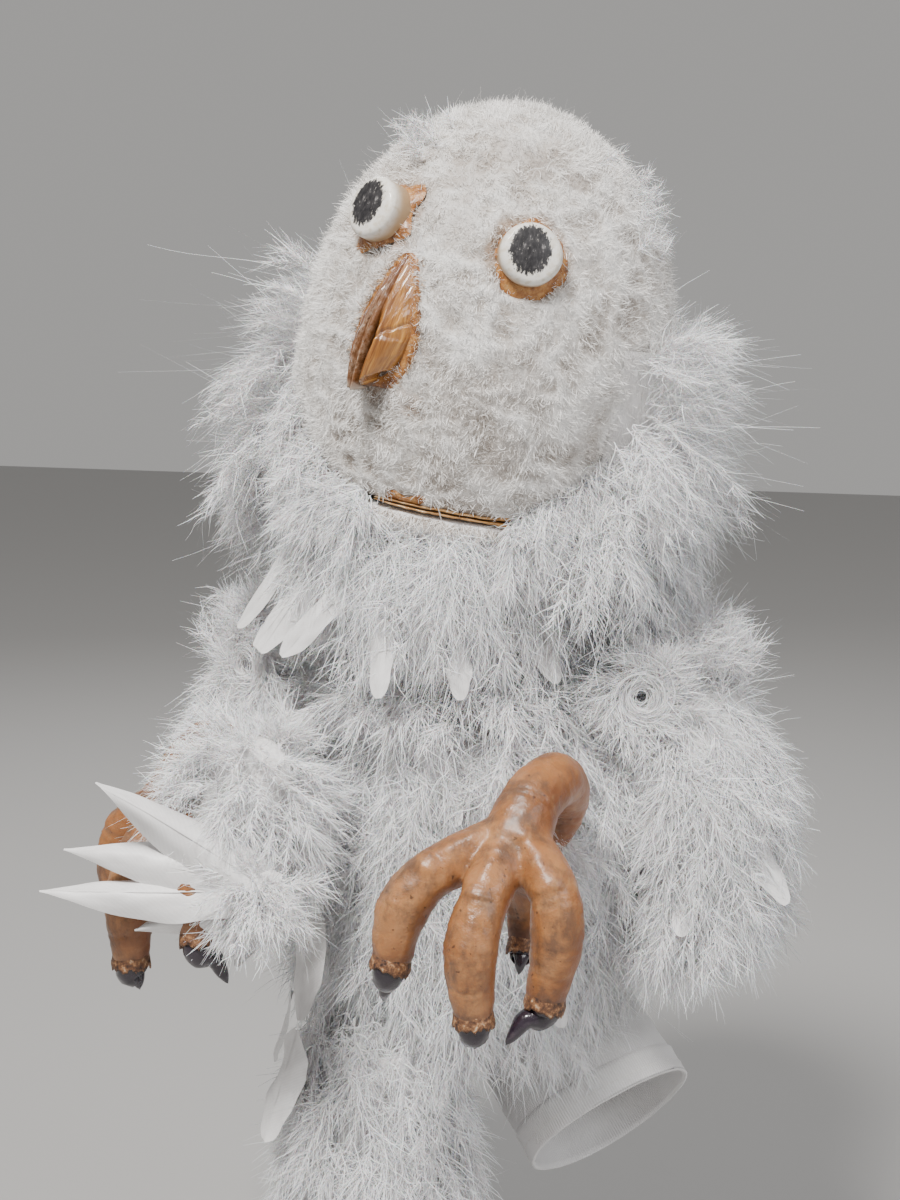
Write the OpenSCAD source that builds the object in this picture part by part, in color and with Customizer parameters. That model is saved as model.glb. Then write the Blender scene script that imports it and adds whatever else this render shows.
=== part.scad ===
// Moving-mouth bird hand puppet: a fleece head with a hinged jaw, a feathered jersey body,
// two wings, two moulded talon feet and a hanging tail.
// The origin is the centre of the arm opening, +Z is up and the puppet looks along -Y.

/* [Head] */
// Width of the fleece head
head_w = 182; // [170:2:190]
// Depth of the fleece head, front to back
head_d = 194; // [186:2:200]
// Height of the fleece head from the mouth line to the crown
head_h = 192; // [186:1:196]
// Sideways lean of the head at rest
head_lean = 11; // [8:1:12]
// Thickness of the stiff head shell
shell_t = 4; // [3:0.5:5]
// Thickness of the fleece over the shell
fleece_t = 5; // [4:0.5:6]
// Radius of an eye knob
eye_r = 14.5; // [13:0.5:16]
// Length of the beak, root to tip
beak_len = 62; // [56:1:66]
// Width of the beak at its base
beak_w = 29; // [26:1:32]

/* [Mouth] */
// Width of the mouth boards
mouth_w = 104; // [90:2:108]
// Depth of the mouth boards, hinge to lip
mouth_d = 82; // [76:1:84]
// Thickness of a mouth board
board_t = 3; // [2:0.5:3]
// Height of the chin below the lower board
chin_h = 19; // [18:0.5:20]

/* [Body] */
// Radius of the jersey arm sleeve
sleeve_r = 47; // [42:1:48]
// Thickness of the jersey
jersey_t = 1.2; // [1:0.1:1.5]
// Half width of the feathered body
body_rx = 84; // [78:1:84]
// Half depth of the feathered body
body_ry = 84; // [78:1:84]
// Thickness of the feather mass on a wing
wing_t = 74; // [60:2:80]
// Length of a wing
wing_len = 138; // [120:2:142]

/* [Feet and tail] */
// Scale of the talon feet, 1 is 130 mm from knuckle fold to claw tip
foot_scale = 1; // [0.9:0.05:1.05]
// Length of the hanging tail
tail_len = 172; // [150:2:180]
// Half width of the tail
tail_r = 46; // [40:1:47]

/* [Hidden] */

gap = 0.4;
seam = 0.5;
round_n = 32;
boa_n = 28;
$fn = 64;

// Head frame: its origin is the middle of the round crown part of the head.
head_at = [-61, -10, 428];
head_rx = head_w / 2;
head_ry = head_d / 2;
crown_h = head_w / 2 + 1;
mouth_z = crown_h - head_h;
widest_z = -30;
// Each eye's turn from straight ahead, and its height.
eye_left_at = [31.5, 23];
eye_right_at = [-22, 30];
eye_tip = 14;
eye_left_len = 10;
eye_right_len = 12;
beak_top_z = 14;
beak_turn = -8;

// The wrist: head, neck bands and sleeve top are all shaped on spheres round this point.
wrist_at = [-87, 10, 222];
dome_r = 60;
band_t = 1.5;
band_lower_r = 62;
band_upper_r = 65.5;
skirt_r = 69;

// Body, wings, legs and tail
body_top = 228;
body_bottom = 90;
body_mid = [-80, -6];
wing_top = 244;
leg_at = [72, -70, 168];
leg_splay_right = 14;
leg_right_shift = [5, 5, -2];
tail_at = [-97, -76, 84];
white = [0.9, 0.89, 0.9];
down_white = [0.93, 0.92, 0.94];
fleece_white = [0.82, 0.8, 0.77];
latex_brown = [0.66, 0.43, 0.25];
claw_black = [0.08, 0.06, 0.08];
glue_brown = [0.66, 0.42, 0.2];
amber = [0.68, 0.42, 0.18];

// ---- point and surface helpers ----

// A level ring of n points on an ellipse, counter-clockwise from above.
function oval(cx, cy, z, rx, ry, n = round_n) =
    [for (i = [0 : n - 1]) [cx + rx * cos(360 * i / n), cy + ry * sin(360 * i / n), z]];

// Triangles between the ring that starts at point a and the ring that starts at point b.
function strip(a, b, n) = [for (i = [0 : n - 1]) let (j = (i + 1) % n)
    each [[a + i, b + i, b + j], [a + i, b + j, a + j]]];
function fan_in(pole, b, n) = [for (i = [0 : n - 1]) [pole, b + i, b + (i + 1) % n]];
function fan_out(a, pole, n) = [for (i = [0 : n - 1]) [a + i, pole, a + (i + 1) % n]];
function middle(ring) = [for (k = [0 : 2]) total([for (p = ring) p[k]]) / len(ring)];
function total(v, i = 0) = i >= len(v) ? 0 : v[i] + total(v, i + 1);
function unit(v) = v / norm(v);
function mix(a, b, t) = a + (b - a) * t;

// A skin over rings. With two poles it is closed at both ends, without it joins up like a tyre.
module skin(rings, poles = []) {
    n = len(rings[0]);
    m = len(rings);
    points = [for (ring = rings) each ring];
    sides = [for (k = [0 : m - 2]) each strip(k * n, (k + 1) * n, n)];
    if (len(poles) == 0)
        polyhedron(points = points, faces = concat(sides, strip((m - 1) * n, 0, n)), convexity = 8);
    else
        polyhedron(points = concat(points, poles),
            faces = concat(fan_in(m * n, 0, n), sides, fan_out((m - 1) * n, m * n + 1, n)),
            convexity = 8);
}

// A closed lump over rings from low to high.
module lump(rings) skin(rings, [middle(rings[0]), middle(rings[len(rings) - 1])]);

// The point on a smooth curve through points p at position t, counted in points.
function along(p, t) = let (i = min(floor(t), len(p) - 2), f = t - i,
    a = p[max(i - 1, 0)], b = p[i], c = p[i + 1], d = p[min(i + 2, len(p) - 1)])
    b + f * ((c - a) / 2 + f * ((2 * a - 5 * b + 4 * c - d) / 2 + f * (3 * b - a - 3 * c + d) / 2));

// A ring square to direction d, with up as the side that stays at angle 90.
function square_ring(c, d, r, n, up) = let (t = unit(d), u = unit(cross(up, t)), v = cross(t, u))
    [for (i = [0 : n - 1]) c + r * (cos(360 * i / n) * u + sin(360 * i / n) * v)];
function path_dir(p, i) = p[min(i + 1, len(p) - 1)] - p[max(i - 1, 0)];

// A round rod along points p with radii r.
module rod(p, r, n = 10, up = [0, 1, 0.01])
    skin([for (i = [0 : len(p) - 1]) square_ring(p[i], path_dir(p, i), r[i], n, up)],
        [p[0], p[len(p) - 1]]);

// A chain of blended balls.
module limb(p, r, sides = 14)
    for (i = [0 : len(p) - 2])
        hull() {
            translate(p[i]) sphere(r = r[i], $fn = sides);
            translate(p[i + 1]) sphere(r = r[i + 1], $fn = sides);
        }

module at_head() translate(head_at) rotate([0, head_lean, 0]) children();
module mirrored_body() translate([2 * body_mid[0], 0, 0]) mirror([1, 0, 0]) children();

// ---- head ----

// Share of the head's full width at height z: half an egg above, drawn in towards the mouth.
function head_share(z) = z >= widest_z
    ? sqrt(max(0, 1 - pow((z - widest_z) / (crown_h - widest_z), 2)))
    : 1 - 0.13 * pow((z - widest_z) / (mouth_z - widest_z), 2.2);
function head_ring(z, share, inset) =
    oval(0, 0, z, (head_rx - inset) * share, (head_ry - inset) * share);
// The face of the head, set in by inset, from the mouth line to near the crown.
function head_rings(inset) = concat(
    [for (z = [mouth_z + 3, -88, -60]) head_ring(z, head_share(z), inset)],
    [for (a = [0, 18, 34, 49, 62, 73, 82])
        head_ring(widest_z + (crown_h - inset - widest_z) * sin(a), cos(a), inset)]);
function backwards(v) = [for (i = [len(v) - 1 : -1 : 0]) v[i]];

// The shell of the head between two insets from the fleece's face, open at the mouth line.
module head_layer(outer, inner)
    skin(concat(backwards(head_rings(inner)), head_rings(outer)),
        [[0, 0, crown_h - inner], [0, 0, crown_h - outer]]);

module head_shell() color("burlywood") at_head() head_layer(fleece_t + gap, fleece_t + shell_t);
module head_cover() color(fleece_white) at_head() head_layer(0, fleece_t);

// A place on the front of the head: turned from straight ahead, at height z.
function on_head(turn, z, out = 0) = let (s = head_share(z))
    [(head_rx * s + out) * sin(turn), -(head_ry * s + out) * cos(turn), z];
module on_face(turn, z, out) translate(on_head(turn, z, out)) rotate([0, 0, turn]) children();

// A domed eye knob, its axis along -Y of its place.
module eye_knob(length) {
    edge = 4;
    rotate([90 - eye_tip, 0, 0]) rotate_extrude() polygon(concat(
        [[0, 0], [eye_r - 1.5, 0], [eye_r, 1.5]],
        [for (a = [0 : 15 : 75]) [eye_r - edge + edge * cos(a), length - edge + edge * sin(a)]],
        [[0, length]]));
}
module eye_left() color("white") at_head()
    on_face(eye_left_at[0], eye_left_at[1], seam) eye_knob(eye_left_len);
module eye_right() color("white") at_head()
    on_face(eye_right_at[0], eye_right_at[1], seam) eye_knob(eye_right_len);

// A worn ring of glue round an eye.
module glue_ring() {
    near = eye_r + gap;
    far = eye_r + 3.5;
    rotate([90 - eye_tip, 0, 0]) rotate_extrude()
        polygon([[near, -2.5], [far, -2.5], [far, -0.2], [near + 1.6, 1.2], [near, 1.6]]);
}
module eye_glue_left() color(glue_brown) at_head() on_face(eye_left_at[0], eye_left_at[1], seam) glue_ring();
module eye_glue_right() color(glue_brown) at_head() on_face(eye_right_at[0], eye_right_at[1], seam) glue_ring();

// Beak: sections down its length, each with a ridge, two flanks and a flat back.
// Across a section: share of its half width, and share of its height out from the fleece.
beak_across = [[-0.8, 0.55], [-0.3, 0.9], [0, 1], [0.35, 0.85], [0.8, 0.45]];
// Down its length: share of its length, and share of its half width.
beak_down = [[1, 0.45], [0.85, 0.85], [0.7, 1], [0.5, 0.92], [0.3, 0.68], [0.15, 0.48], [0.05, 0.3]];
function beak_section(t, wide) = let (w = beak_w / 2 * wide, mid = 1.5 + 3.5 * pow(1 - t, 2),
        z = beak_top_z - beak_len * t, out = 3 + 17 * pow(t, 0.8), face = -head_ry * head_share(z))
    concat([[mid - w, face - seam, z]], [for (p = beak_across) [mid + p[0] * w, face - p[1] * out, z]],
        [[mid + w, face - seam, z]]);
module beak() color(amber) at_head() rotate([0, 0, beak_turn]) skin(
    [for (d = beak_down) beak_section(d[0], d[1])],
    [[0, -head_ry * head_share(beak_top_z - beak_len) - 13, beak_top_z - beak_len - 1],
     [5, -head_ry - 1.5, beak_top_z]]);
// A point on an egg-shaped rim round the beak, scaled by s and standing out from the fleece.
rim_n = 20;
function beak_rim(i, s, out) = let (a = 360 * i / rim_n,
        x = s * beak_w / 2 * cos(a) * (1 - 0.3 * sin(a)) + 2.5 + 1.5 * sin(a),
        z = beak_top_z - 0.5 - beak_len / 2 + s * beak_len / 2 * sin(a) * 0.96)
    [x, -head_ry * head_share(z) * sqrt(1 - pow(x / head_rx, 2)) - out, z];
function beak_ring(s, out) = [for (i = [0 : rim_n - 1]) beak_rim(i, s, out)];
module beak_glue() color(glue_brown) at_head() rotate([0, 0, beak_turn])
    skin([beak_ring(1.02, -1.5), beak_ring(1.14, -1.5), beak_ring(1.12, 1.2), beak_ring(1.02, 1.2)]);

// ---- mouth ----

// A half-round board outline: straight at the hinge, round at the lip.
module mouth_outline(inset, back) intersection() {
    scale([1, (mouth_d - inset) / (mouth_w / 2 - inset)]) circle(r = mouth_w / 2 - inset);
    translate([-mouth_w, -mouth_w - back]) square([2 * mouth_w, mouth_w]);
}
hinge_r = 2.4;
lip_h = 2.6;
lip_in = 1.5;
board_in = 5.6;
module slab(z, h) at_head() translate([0, 0, mouth_z + z]) linear_extrude(h) children();

module lip_outline() difference() {
    mouth_outline(lip_in, 20);
    mouth_outline(board_in, 10);
}
module palate_board() color("sienna") slab(seam, board_t) mouth_outline(board_in + gap, hinge_r + 2 * gap);
module upper_lip() color(glue_brown) slab(0.3, lip_h) lip_outline();
module mouth_hinge() color("wheat") at_head() translate([-mouth_w / 2 + 8, 0, mouth_z])
    rotate([0, 90, 0]) cylinder(r = hinge_r, h = mouth_w - 16);
module jaw_board() color("sienna") slab(-seam - board_t, board_t)
    mouth_outline(board_in + gap, hinge_r + 2 * gap);
module lower_lip() color(glue_brown) slab(-0.8 - lip_h, lip_h) lip_outline();

// A flat cloth pocket, open towards the wrist.
module pocket(w, d, h, wall) difference() {
    cube([w, d, h]);
    translate([wall, wall, wall]) cube([w - 2 * wall, d, h - 2 * wall]);
}
finger_w = 78;
finger_d = 54;
finger_h = 24;
thumb_w = 34;
thumb_d = 46;
thumb_h = 15;
chin_back = 16;
pocket_t = 1.5;
palate_top = mouth_z + board_t + seam + gap;
chin_top = mouth_z - board_t - seam - gap;
module finger_pocket() color("gray") at_head()
    translate([-finger_w / 2, -finger_d - 6, palate_top]) pocket(finger_w, finger_d, finger_h, pocket_t);
module thumb_pocket() color("gray") at_head()
    translate([-thumb_w / 2, -thumb_d - chin_back, chin_top - thumb_h])
        pocket(thumb_w, thumb_d, thumb_h, pocket_t);

chin_in = 9;
cover_in = 4.5;
// The soft chin: a half-round pad with a slot for the thumb pocket.
module chin_pad() color("lightgray") at_head() translate([0, 0, chin_top - chin_h + 1]) difference() {
    linear_extrude(chin_h - 1) mouth_outline(chin_in, chin_back);
    translate([-thumb_w / 2 - gap, -thumb_d - chin_back - gap, chin_h - 1 - thumb_h - gap])
        cube([thumb_w + 2 * gap, thumb_d + 10, thumb_h + 2]);
}
module chin_cover() color(fleece_white) at_head() translate([0, 0, chin_top - chin_h + 1])
    linear_extrude(chin_h - 1) difference() {
        mouth_outline(cover_in, 18);
        mouth_outline(chin_in - gap, 14);
    }
module beard_boa() color(down_white) at_head() translate([0, 0, chin_top - chin_h + 3])
    linear_extrude(chin_h - 5) difference() {
        mouth_outline(-9, 24);
        mouth_outline(cover_in - gap, 20);
    }

// The board that closes the head's underside on both sides of the mouth.
module head_base() color("sienna") slab(seam, board_t - 1) difference() {
    scale([1, head_ry / head_rx]) circle(r = (head_rx - fleece_t - shell_t) * head_share(mouth_z) - 1.5);
    mouth_outline(lip_in - gap, -1);
    translate([-head_w, 2]) square([2 * head_w, head_d]);
    translate([-mouth_w / 2 + 5, -4]) square([mouth_w - 10, 8]);
}

// A band of cloth on a sphere round the wrist, between two heights given as angles.
module wrist_band(r, low, high) translate(wrist_at) rotate_extrude() polygon(concat(
    [for (a = [low : (high - low) / 6 : high]) (r + band_t) * [cos(a), sin(a)]],
    [for (a = [high : -(high - low) / 6 : low]) r * [cos(a), sin(a)]]));
module neck_band_lower() color(white) wrist_band(band_lower_r, 8, 48);
module neck_band_upper() color(white) wrist_band(band_upper_r, 21, 51);

// The cloth between the head and the neck: a sphere round the wrist below, and a half-moon
// behind the jaw's path above, which the hand passes through.
wrist_in_head = let (d = wrist_at - head_at) [d[0] * cos(head_lean) - d[2] * sin(head_lean), d[1],
    d[0] * sin(head_lean) + d[2] * cos(head_lean)];
function skirt_rings(inset) = let (w = wrist_in_head) concat(
    [for (a = [31, 39, 47]) let (r = (skirt_r + band_t) * cos(a) - inset)
        oval(w[0], w[1], w[2] + (skirt_r + band_t) * sin(a), r, r)],
    [oval(0.6 * w[0], 40, mouth_z - 29, 62 - inset, 44 - inset),
     oval(0, 41, mouth_z - 14, 58 - inset, 33 - inset), oval(0, 40, mouth_z + 2, 61 - inset, 32 - inset)]);
module neck_skirt() color(white) at_head()
    skin(concat(skirt_rings(0), backwards(skirt_rings(band_t))));

// The feather ruff round the sides and back of the head, open at the face.
ruff_open = 66;
ruff_t = 32;
// Height and thickness share of the ruff, from its lower edge up.
ruff_levels = [[-112, 0.3], [-104, 0.75], [-80, 1], [-50, 0.9], [-25, 0.55], [-12, 0.2]];
function ruff_loop() = concat(
    [for (l = ruff_levels) [head_rx * head_share(l[0]) + 1.5, l[0]]],
    [for (l = backwards(ruff_levels)) [head_rx * head_share(l[0]) + 1.5 + ruff_t * l[1], l[0]]]);
function ruff_slice(a) = [for (p = ruff_loop()) [p[0] * cos(a), p[0] * sin(a) * head_ry / head_rx, p[1]]];
module head_ruff() color(down_white) at_head() {
    arc = [for (i = [0 : 19]) -90 + ruff_open + (360 - 2 * ruff_open) * i / 19];
    slices = [for (a = arc) ruff_slice(a)];
    skin(slices, [middle(slices[0]), middle(slices[19])]);
}

// ---- body ----

sleeve_path = [[0, 0, 0], [-26, 13, 27], [-52, 25, 54], [-70, 26, 87], [-80, 21, 122], [-85, 15, 155],
    [-87, 10, 185]];
sleeve_up = [0, 1, 0.01];
// A rise from the tube to the dome that the neck bands turn on.
dome_low = -asin(sqrt(1 - pow(sleeve_r / dome_r, 2)));
tube_n = 24;
function dome_ring(a, r) =
    oval(wrist_at[0], wrist_at[1], wrist_at[2] + r * sin(a), r * cos(a), r * cos(a), tube_n);
function tube_ring(i, r) = square_ring(sleeve_path[i], path_dir(sleeve_path, i), r, tube_n, sleeve_up);
module body_sleeve() color(white) {
    turns = [for (i = [0 : 5]) mix(dome_low + 4, 45, i / 5)];
    last = len(sleeve_path) - 2;
    skin(concat([for (i = [0 : last]) tube_ring(i, sleeve_r)],
        [for (a = turns) dome_ring(a, dome_r)],
        [for (i = [5 : -1 : 0]) dome_ring(turns[i], dome_r - jersey_t)],
        [for (i = [last : -1 : 0]) tube_ring(i, sleeve_r - jersey_t)]));
}
// The folded hem is the last 18 mm of the sleeve, outside the jersey.
hem_w = 18;
module cuff_hem() color(white) {
    run = unit(sleeve_path[1]);
    skin(concat([for (s = [0.5, hem_w]) hem_ring(run, s, sleeve_r + 1.6)],
        [for (s = [hem_w, 0.5]) hem_ring(run, s, sleeve_r + 0.2)]));
}
function hem_ring(run, s, r) = square_ring(run * s, run, r, 48, sleeve_up);

// Half width, half depth and middle of the feathered body at height z.
function body_bulge(z) = z > 180 ? 1 - 0.13 * pow((z - 180) / 48, 1.6) : 1 - 0.1 * pow((180 - z) / 90, 4);
function path_step(z) = [for (i = [1 : len(sleeve_path) - 1]) if (sleeve_path[i][2] >= z) i][0];
function sleeve_mid(z) = z > 185 ? wrist_at : let (k = path_step(z),
    a = sleeve_path[k - 1], b = sleeve_path[k]) mix(a, b, (z - a[2]) / (b[2] - a[2]));
function body_inner_r(z) = (z > 184 ? sqrt(max(0, dome_r * dome_r - pow(z - wrist_at[2], 2))) : sleeve_r) + 3;
// The hole for the sleeve is wider low down, where the sleeve leans across it.
function body_inner(z) = let (m = sleeve_mid(z), r = body_inner_r(z), lean = max(0, 140 - z) / 220)
    oval(m[0], m[1], z, r * (1 + lean), r * 1.02, boa_n);
function body_outer(z, inset) = let (rise = max(0, z - 200), bulge = body_bulge(z))
    oval(body_mid[0] - rise / 7, body_mid[1] + rise / 4, z,
        body_rx * bulge - inset, body_ry * bulge - inset, boa_n);
// One row of feathers: a ring round the sleeve, fullest in its middle.
row_dip = 5;
module boa_row(low, high) {
    levels = [low + gap, mix(low, high, 0.25), mix(low, high, 0.75), high - gap];
    insets = [row_dip, 0, 0, row_dip];
    skin(concat([for (i = [0 : 3]) body_outer(levels[i], insets[i])],
        [for (i = [3 : -1 : 0]) body_inner(levels[i])]));
}
row_h = (body_top - body_bottom) / 4;
module shoulder_boa() color(down_white) boa_row(body_top - row_h, body_top);
module chest_boa() color(white) boa_row(body_top - 2 * row_h, body_top - row_h);
module belly_boa() color(down_white) boa_row(body_top - 3 * row_h, body_top - 2 * row_h);
module hip_boa() color(white) boa_row(body_bottom, body_top - 3 * row_h);

// ---- flat feathers ----

// A flat feather lying along +X from its root, curved a little to one side.
feather_t = 1.6;
function vane_half(s, w) = w / 2 * sin(180 * pow(0.04 + 0.94 * s, 0.8));
function vane_point(s, length, w, side) = [length * s, 0.08 * length * sin(90 * s) + side * vane_half(s, w)];
module flat_feather(length, w) linear_extrude(feather_t) polygon(concat(
    [for (s = [0 : 0.1 : 1]) vane_point(s, length, w, 1)],
    [for (s = [1 : -0.1 : 0]) vane_point(s, length, w, -1)]));
// Puts a flat feather on edge with its root at p, turned about Z and then dipped below level.
module feather_at(p, turn, dip) translate(p) rotate([0, 0, turn]) rotate([0, dip, 0])
    rotate([90, 0, 0]) children();

// Six flat feathers that hang on the chest, given by X and the height of the root.
chest_roots = [for (i = [0 : 5]) [-106 + 12 * i, 206 - 9 * (i % 2) - 4 * i]];
function chest_y(x) = body_mid[1] - body_ry * sqrt(1 - pow((x - body_mid[0]) / body_rx, 2)) - 7;
module chest_quills() color(white)
    for (f = chest_roots) feather_at([f[0], chest_y(f[0]), f[1]], 0, 78) flat_feather(52, 17);

// ---- legs ----

leg_left_at = [body_mid[0] + leg_at[0], leg_at[1], leg_at[2]];
module at_leg_left() translate(leg_left_at) scale(foot_scale) children();
module at_leg_right() mirrored_body() translate(leg_left_at + leg_right_shift)
    rotate([0, 0, leg_splay_right]) scale(foot_scale) children();

shank = [[0, 0, 0], [13, -12, 24], [15, -32, 38], [11, -52, 32], [9, -64, 18]];
shank_r = [9, 11, 13, 14, 16];
toe_inner = [[0, -68, 15], [-21, -86, 5], [-33, -94, -11], [-37, -96, -32]];
toe_middle = [[7, -70, 14], [5, -92, -3], [3, -102, -24], [4, -101, -50]];
toe_outer = [[15, -67, 14], [31, -77, 1], [34, -79, -20], [29, -78, -46]];
toe_hind = [[10, -58, 10], [7, -42, -8], [3, -36, -24], [3, -40, -36]];
toe_r = [13, 12, 12.5, 9];
// Each toe with the point of its claw.
claws = [[toe_inner, [-46, -87, -57]], [toe_middle, [3, -97, -68]],
    [toe_outer, [15, -89, -67]], [toe_hind, [4, -48, -50]]];

module foot() {
    limb(shank, shank_r);
    for (toe = [toe_inner, toe_middle, toe_outer]) limb(toe, toe_r);
    limb(toe_hind, 0.8 * toe_r);
}
// A claw sleeve over the toe's end, curving to its point.
module claw(toe, tip) {
    root = toe[3];
    lead = unit(toe[3] - toe[2]);
    bend = root + lead * 12;
    way = [root + lead * 3, bend, mix(bend, tip, 0.55), tip];
    rod(way, [8.2, 7.6, 5, 1], 12, [1, 0.1, 0]);
}
module claw_set() for (c = claws) claw(c[0], c[1]);
module foot_wire() {
    way = [for (i = [0 : 8]) along(concat(shank, [toe_middle[1]]), i * 5 / 8)];
    rod(way, [for (p = way) 1.2], 8, [1, 0, 0]);
}
module foot_left() color(latex_brown) at_leg_left() foot();
module foot_right() color(latex_brown) at_leg_right() foot();
module claws_left() color(claw_black) at_leg_left() claw_set();
module claws_right() color(claw_black) at_leg_right() claw_set();
module foot_wire_left() color("silver") at_leg_left() foot_wire();
module foot_wire_right() color("silver") at_leg_right() foot_wire();

// A stitched tape tab on the body that holds the shank's end.
module leg_tab() translate([leg_left_at[0] - 8, leg_left_at[1] + 7.2, leg_left_at[2] - 9])
    rotate([0, 0, 48]) translate([-9, 0, 0]) cube([18, 1.2, 18]);
module leg_tab_left() color(white) leg_tab();
module leg_tab_right() color(white) mirrored_body() leg_tab();

tuft_at = [-144, -120, 184];
module leg_tuft_right() color(down_white) translate(tuft_at)
    lump([for (a = [-75 : 25 : 75]) oval(-6 * sin(a), 0, 42 * sin(a), 38 * cos(a), 36 * cos(a), 20)]);
quill_root = [-110, -164, 158];
module leg_quills_right() color("white")
    for (q = [[201, 8, 114], [199, -17, 104], [196, -38, 98]])
        feather_at(quill_root, q[0], q[1]) flat_feather(q[2], 25);

// ---- wings ----

wing_gap_x = body_mid[0] + body_rx + 2;
wing_bottom = wing_top - wing_len;
// Thickness of the wing at share s of its length, from the top.
function wing_full(s) = 0.45 + 0.55 * sin(min(90, 25 + 160 * s)) - 0.35 * pow(s, 5);
// The inner cloth of a wing, an upright oval panel that the feathers are sewn to.
panel_t = 4;
panel_rz = (wing_len - 24) / 2;
module wing_panel() translate([wing_gap_x, 2, wing_bottom + 12 + panel_rz]) rotate([0, 90, 0])
    scale([panel_rz / 36, 1, 1]) cylinder(r = 36, h = panel_t);
// Each level of a wing: its share of the length, and how far it is rounded in.
wing_levels = [[1, 0.6], [0.94, 1], [0.8, 1], [0.6, 1], [0.4, 1], [0.2, 1], [0.06, 1], [0, 0.6]];
module wing_boa() lump([for (level = wing_levels)
    let (full = wing_full(level[0]) * level[1], w = wing_t / 2 * full)
    oval(wing_gap_x + panel_t + 0.6 + w, 3, wing_top - wing_len * level[0], w, 46 * full, 24)]);
module wing_loop() translate([wing_gap_x + 22, -41, wing_top - 8]) rotate([90, 0, 20])
    rotate_extrude() translate([8, 0]) circle(r = 2.2);
module wing_panel_left() color(white) wing_panel();
module wing_panel_right() color(white) mirrored_body() wing_panel();
module wing_boa_left() color(down_white) wing_boa();
module wing_boa_right() color(down_white) mirrored_body() wing_boa();
module wing_loop_left() color(white) wing_loop();
module wing_loop_right() color(white) mirrored_body() wing_loop();

// ---- tail ----

tail_top = tail_at[2] - 5;
core_share = 0.55;
function tail_share(s) = 0.62 + 0.38 * sin(min(90, 12 + 130 * s)) - 0.42 * pow(s, 3.5);
function tail_mid(s) = [tail_at[0] + 2 * s, tail_at[1] + 3 - 6 * s];
function tail_ring(s, r) = let (m = tail_mid(s)) oval(m[0], m[1], tail_top - tail_len * s, r, r, 24);
module tail_core() color("whitesmoke") lump(concat(
    [for (s = [0.97 : -0.14 : 0.12]) tail_ring(s, tail_r * core_share * tail_share(s))],
    [tail_ring(0.04, tail_r * 0.42), tail_ring(0, tail_r * 0.2)]));
function tail_outside(s, dip) = tail_ring(s, tail_r * tail_share(s) - dip);
function tail_inside(s) = tail_ring(s, tail_r * core_share * 1.03 * tail_share(s) + 1);
// One row of tail feathers between two shares of the tail's length.
tail_seam = 0.004;
tail_dip = 3;
module tail_row(from, to) {
    levels = [to - tail_seam, mix(to, from, 0.3), mix(to, from, 0.7), from + tail_seam];
    dips = [tail_dip, 0, 0, tail_dip];
    skin(concat([for (i = [0 : 3]) tail_outside(levels[i], dips[i])],
        [for (i = [3 : -1 : 0]) tail_inside(levels[i])]));
}
module tail_boa_upper() color(down_white) tail_row(0.13, 0.4);
module tail_boa_middle() color(white) tail_row(0.4, 0.67);
module tail_boa_lower() color(down_white) tail_row(0.67, 0.93);
module tail_quills() color("white") {
    feather_at(tail_at + [-tail_r - 2, -4, -40], 180, 78) flat_feather(64, 22);
    feather_at(tail_at + [-10, -tail_r - 6, -26], 180, 82) flat_feather(60, 20);
}

// Strap that the tail hangs from.
module tail_tab() color(white) translate(tail_at + [-12, 2, -1])
    cube([24, 1.4, body_bottom - tail_at[2] + 0.8]);

head_shell();
head_cover();
head_ruff();
eye_left();
eye_right();
eye_glue_left();
eye_glue_right();
beak();
beak_glue();
upper_lip();
palate_board();
finger_pocket();
mouth_hinge();
head_base();
neck_skirt();
jaw_board();
lower_lip();
thumb_pocket();
chin_pad();
chin_cover();
beard_boa();
neck_band_upper();
neck_band_lower();
body_sleeve();
cuff_hem();
shoulder_boa();
chest_boa();
belly_boa();
hip_boa();
chest_quills();
leg_tab_left();
leg_tab_right();
tail_tab();
wing_panel_left();
wing_boa_left();
wing_loop_left();
wing_panel_right();
wing_boa_right();
wing_loop_right();
foot_left();
foot_wire_left();
claws_left();
foot_right();
foot_wire_right();
claws_right();
leg_tuft_right();
leg_quills_right();
tail_core();
tail_boa_upper();
tail_boa_middle();
tail_boa_lower();
tail_quills();
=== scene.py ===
import math

import bmesh
import bpy
import numpy as np
from mathutils import Matrix, Vector
from mathutils.kdtree import KDTree


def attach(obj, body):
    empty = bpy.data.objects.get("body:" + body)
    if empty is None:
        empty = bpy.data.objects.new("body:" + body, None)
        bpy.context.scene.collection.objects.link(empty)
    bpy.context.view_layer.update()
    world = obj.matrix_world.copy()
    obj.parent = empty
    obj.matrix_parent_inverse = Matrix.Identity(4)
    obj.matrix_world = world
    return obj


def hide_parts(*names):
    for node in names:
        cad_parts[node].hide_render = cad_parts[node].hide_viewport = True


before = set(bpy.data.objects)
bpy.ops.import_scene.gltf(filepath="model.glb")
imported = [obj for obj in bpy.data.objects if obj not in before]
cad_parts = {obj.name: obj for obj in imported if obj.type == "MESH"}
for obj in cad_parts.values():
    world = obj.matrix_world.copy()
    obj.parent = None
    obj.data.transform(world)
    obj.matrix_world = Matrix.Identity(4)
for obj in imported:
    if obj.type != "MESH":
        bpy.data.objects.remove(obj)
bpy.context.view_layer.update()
MM = 0.001
rng = np.random.default_rng(11)
uniform, gauss = rng.uniform, rng.normal

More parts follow.
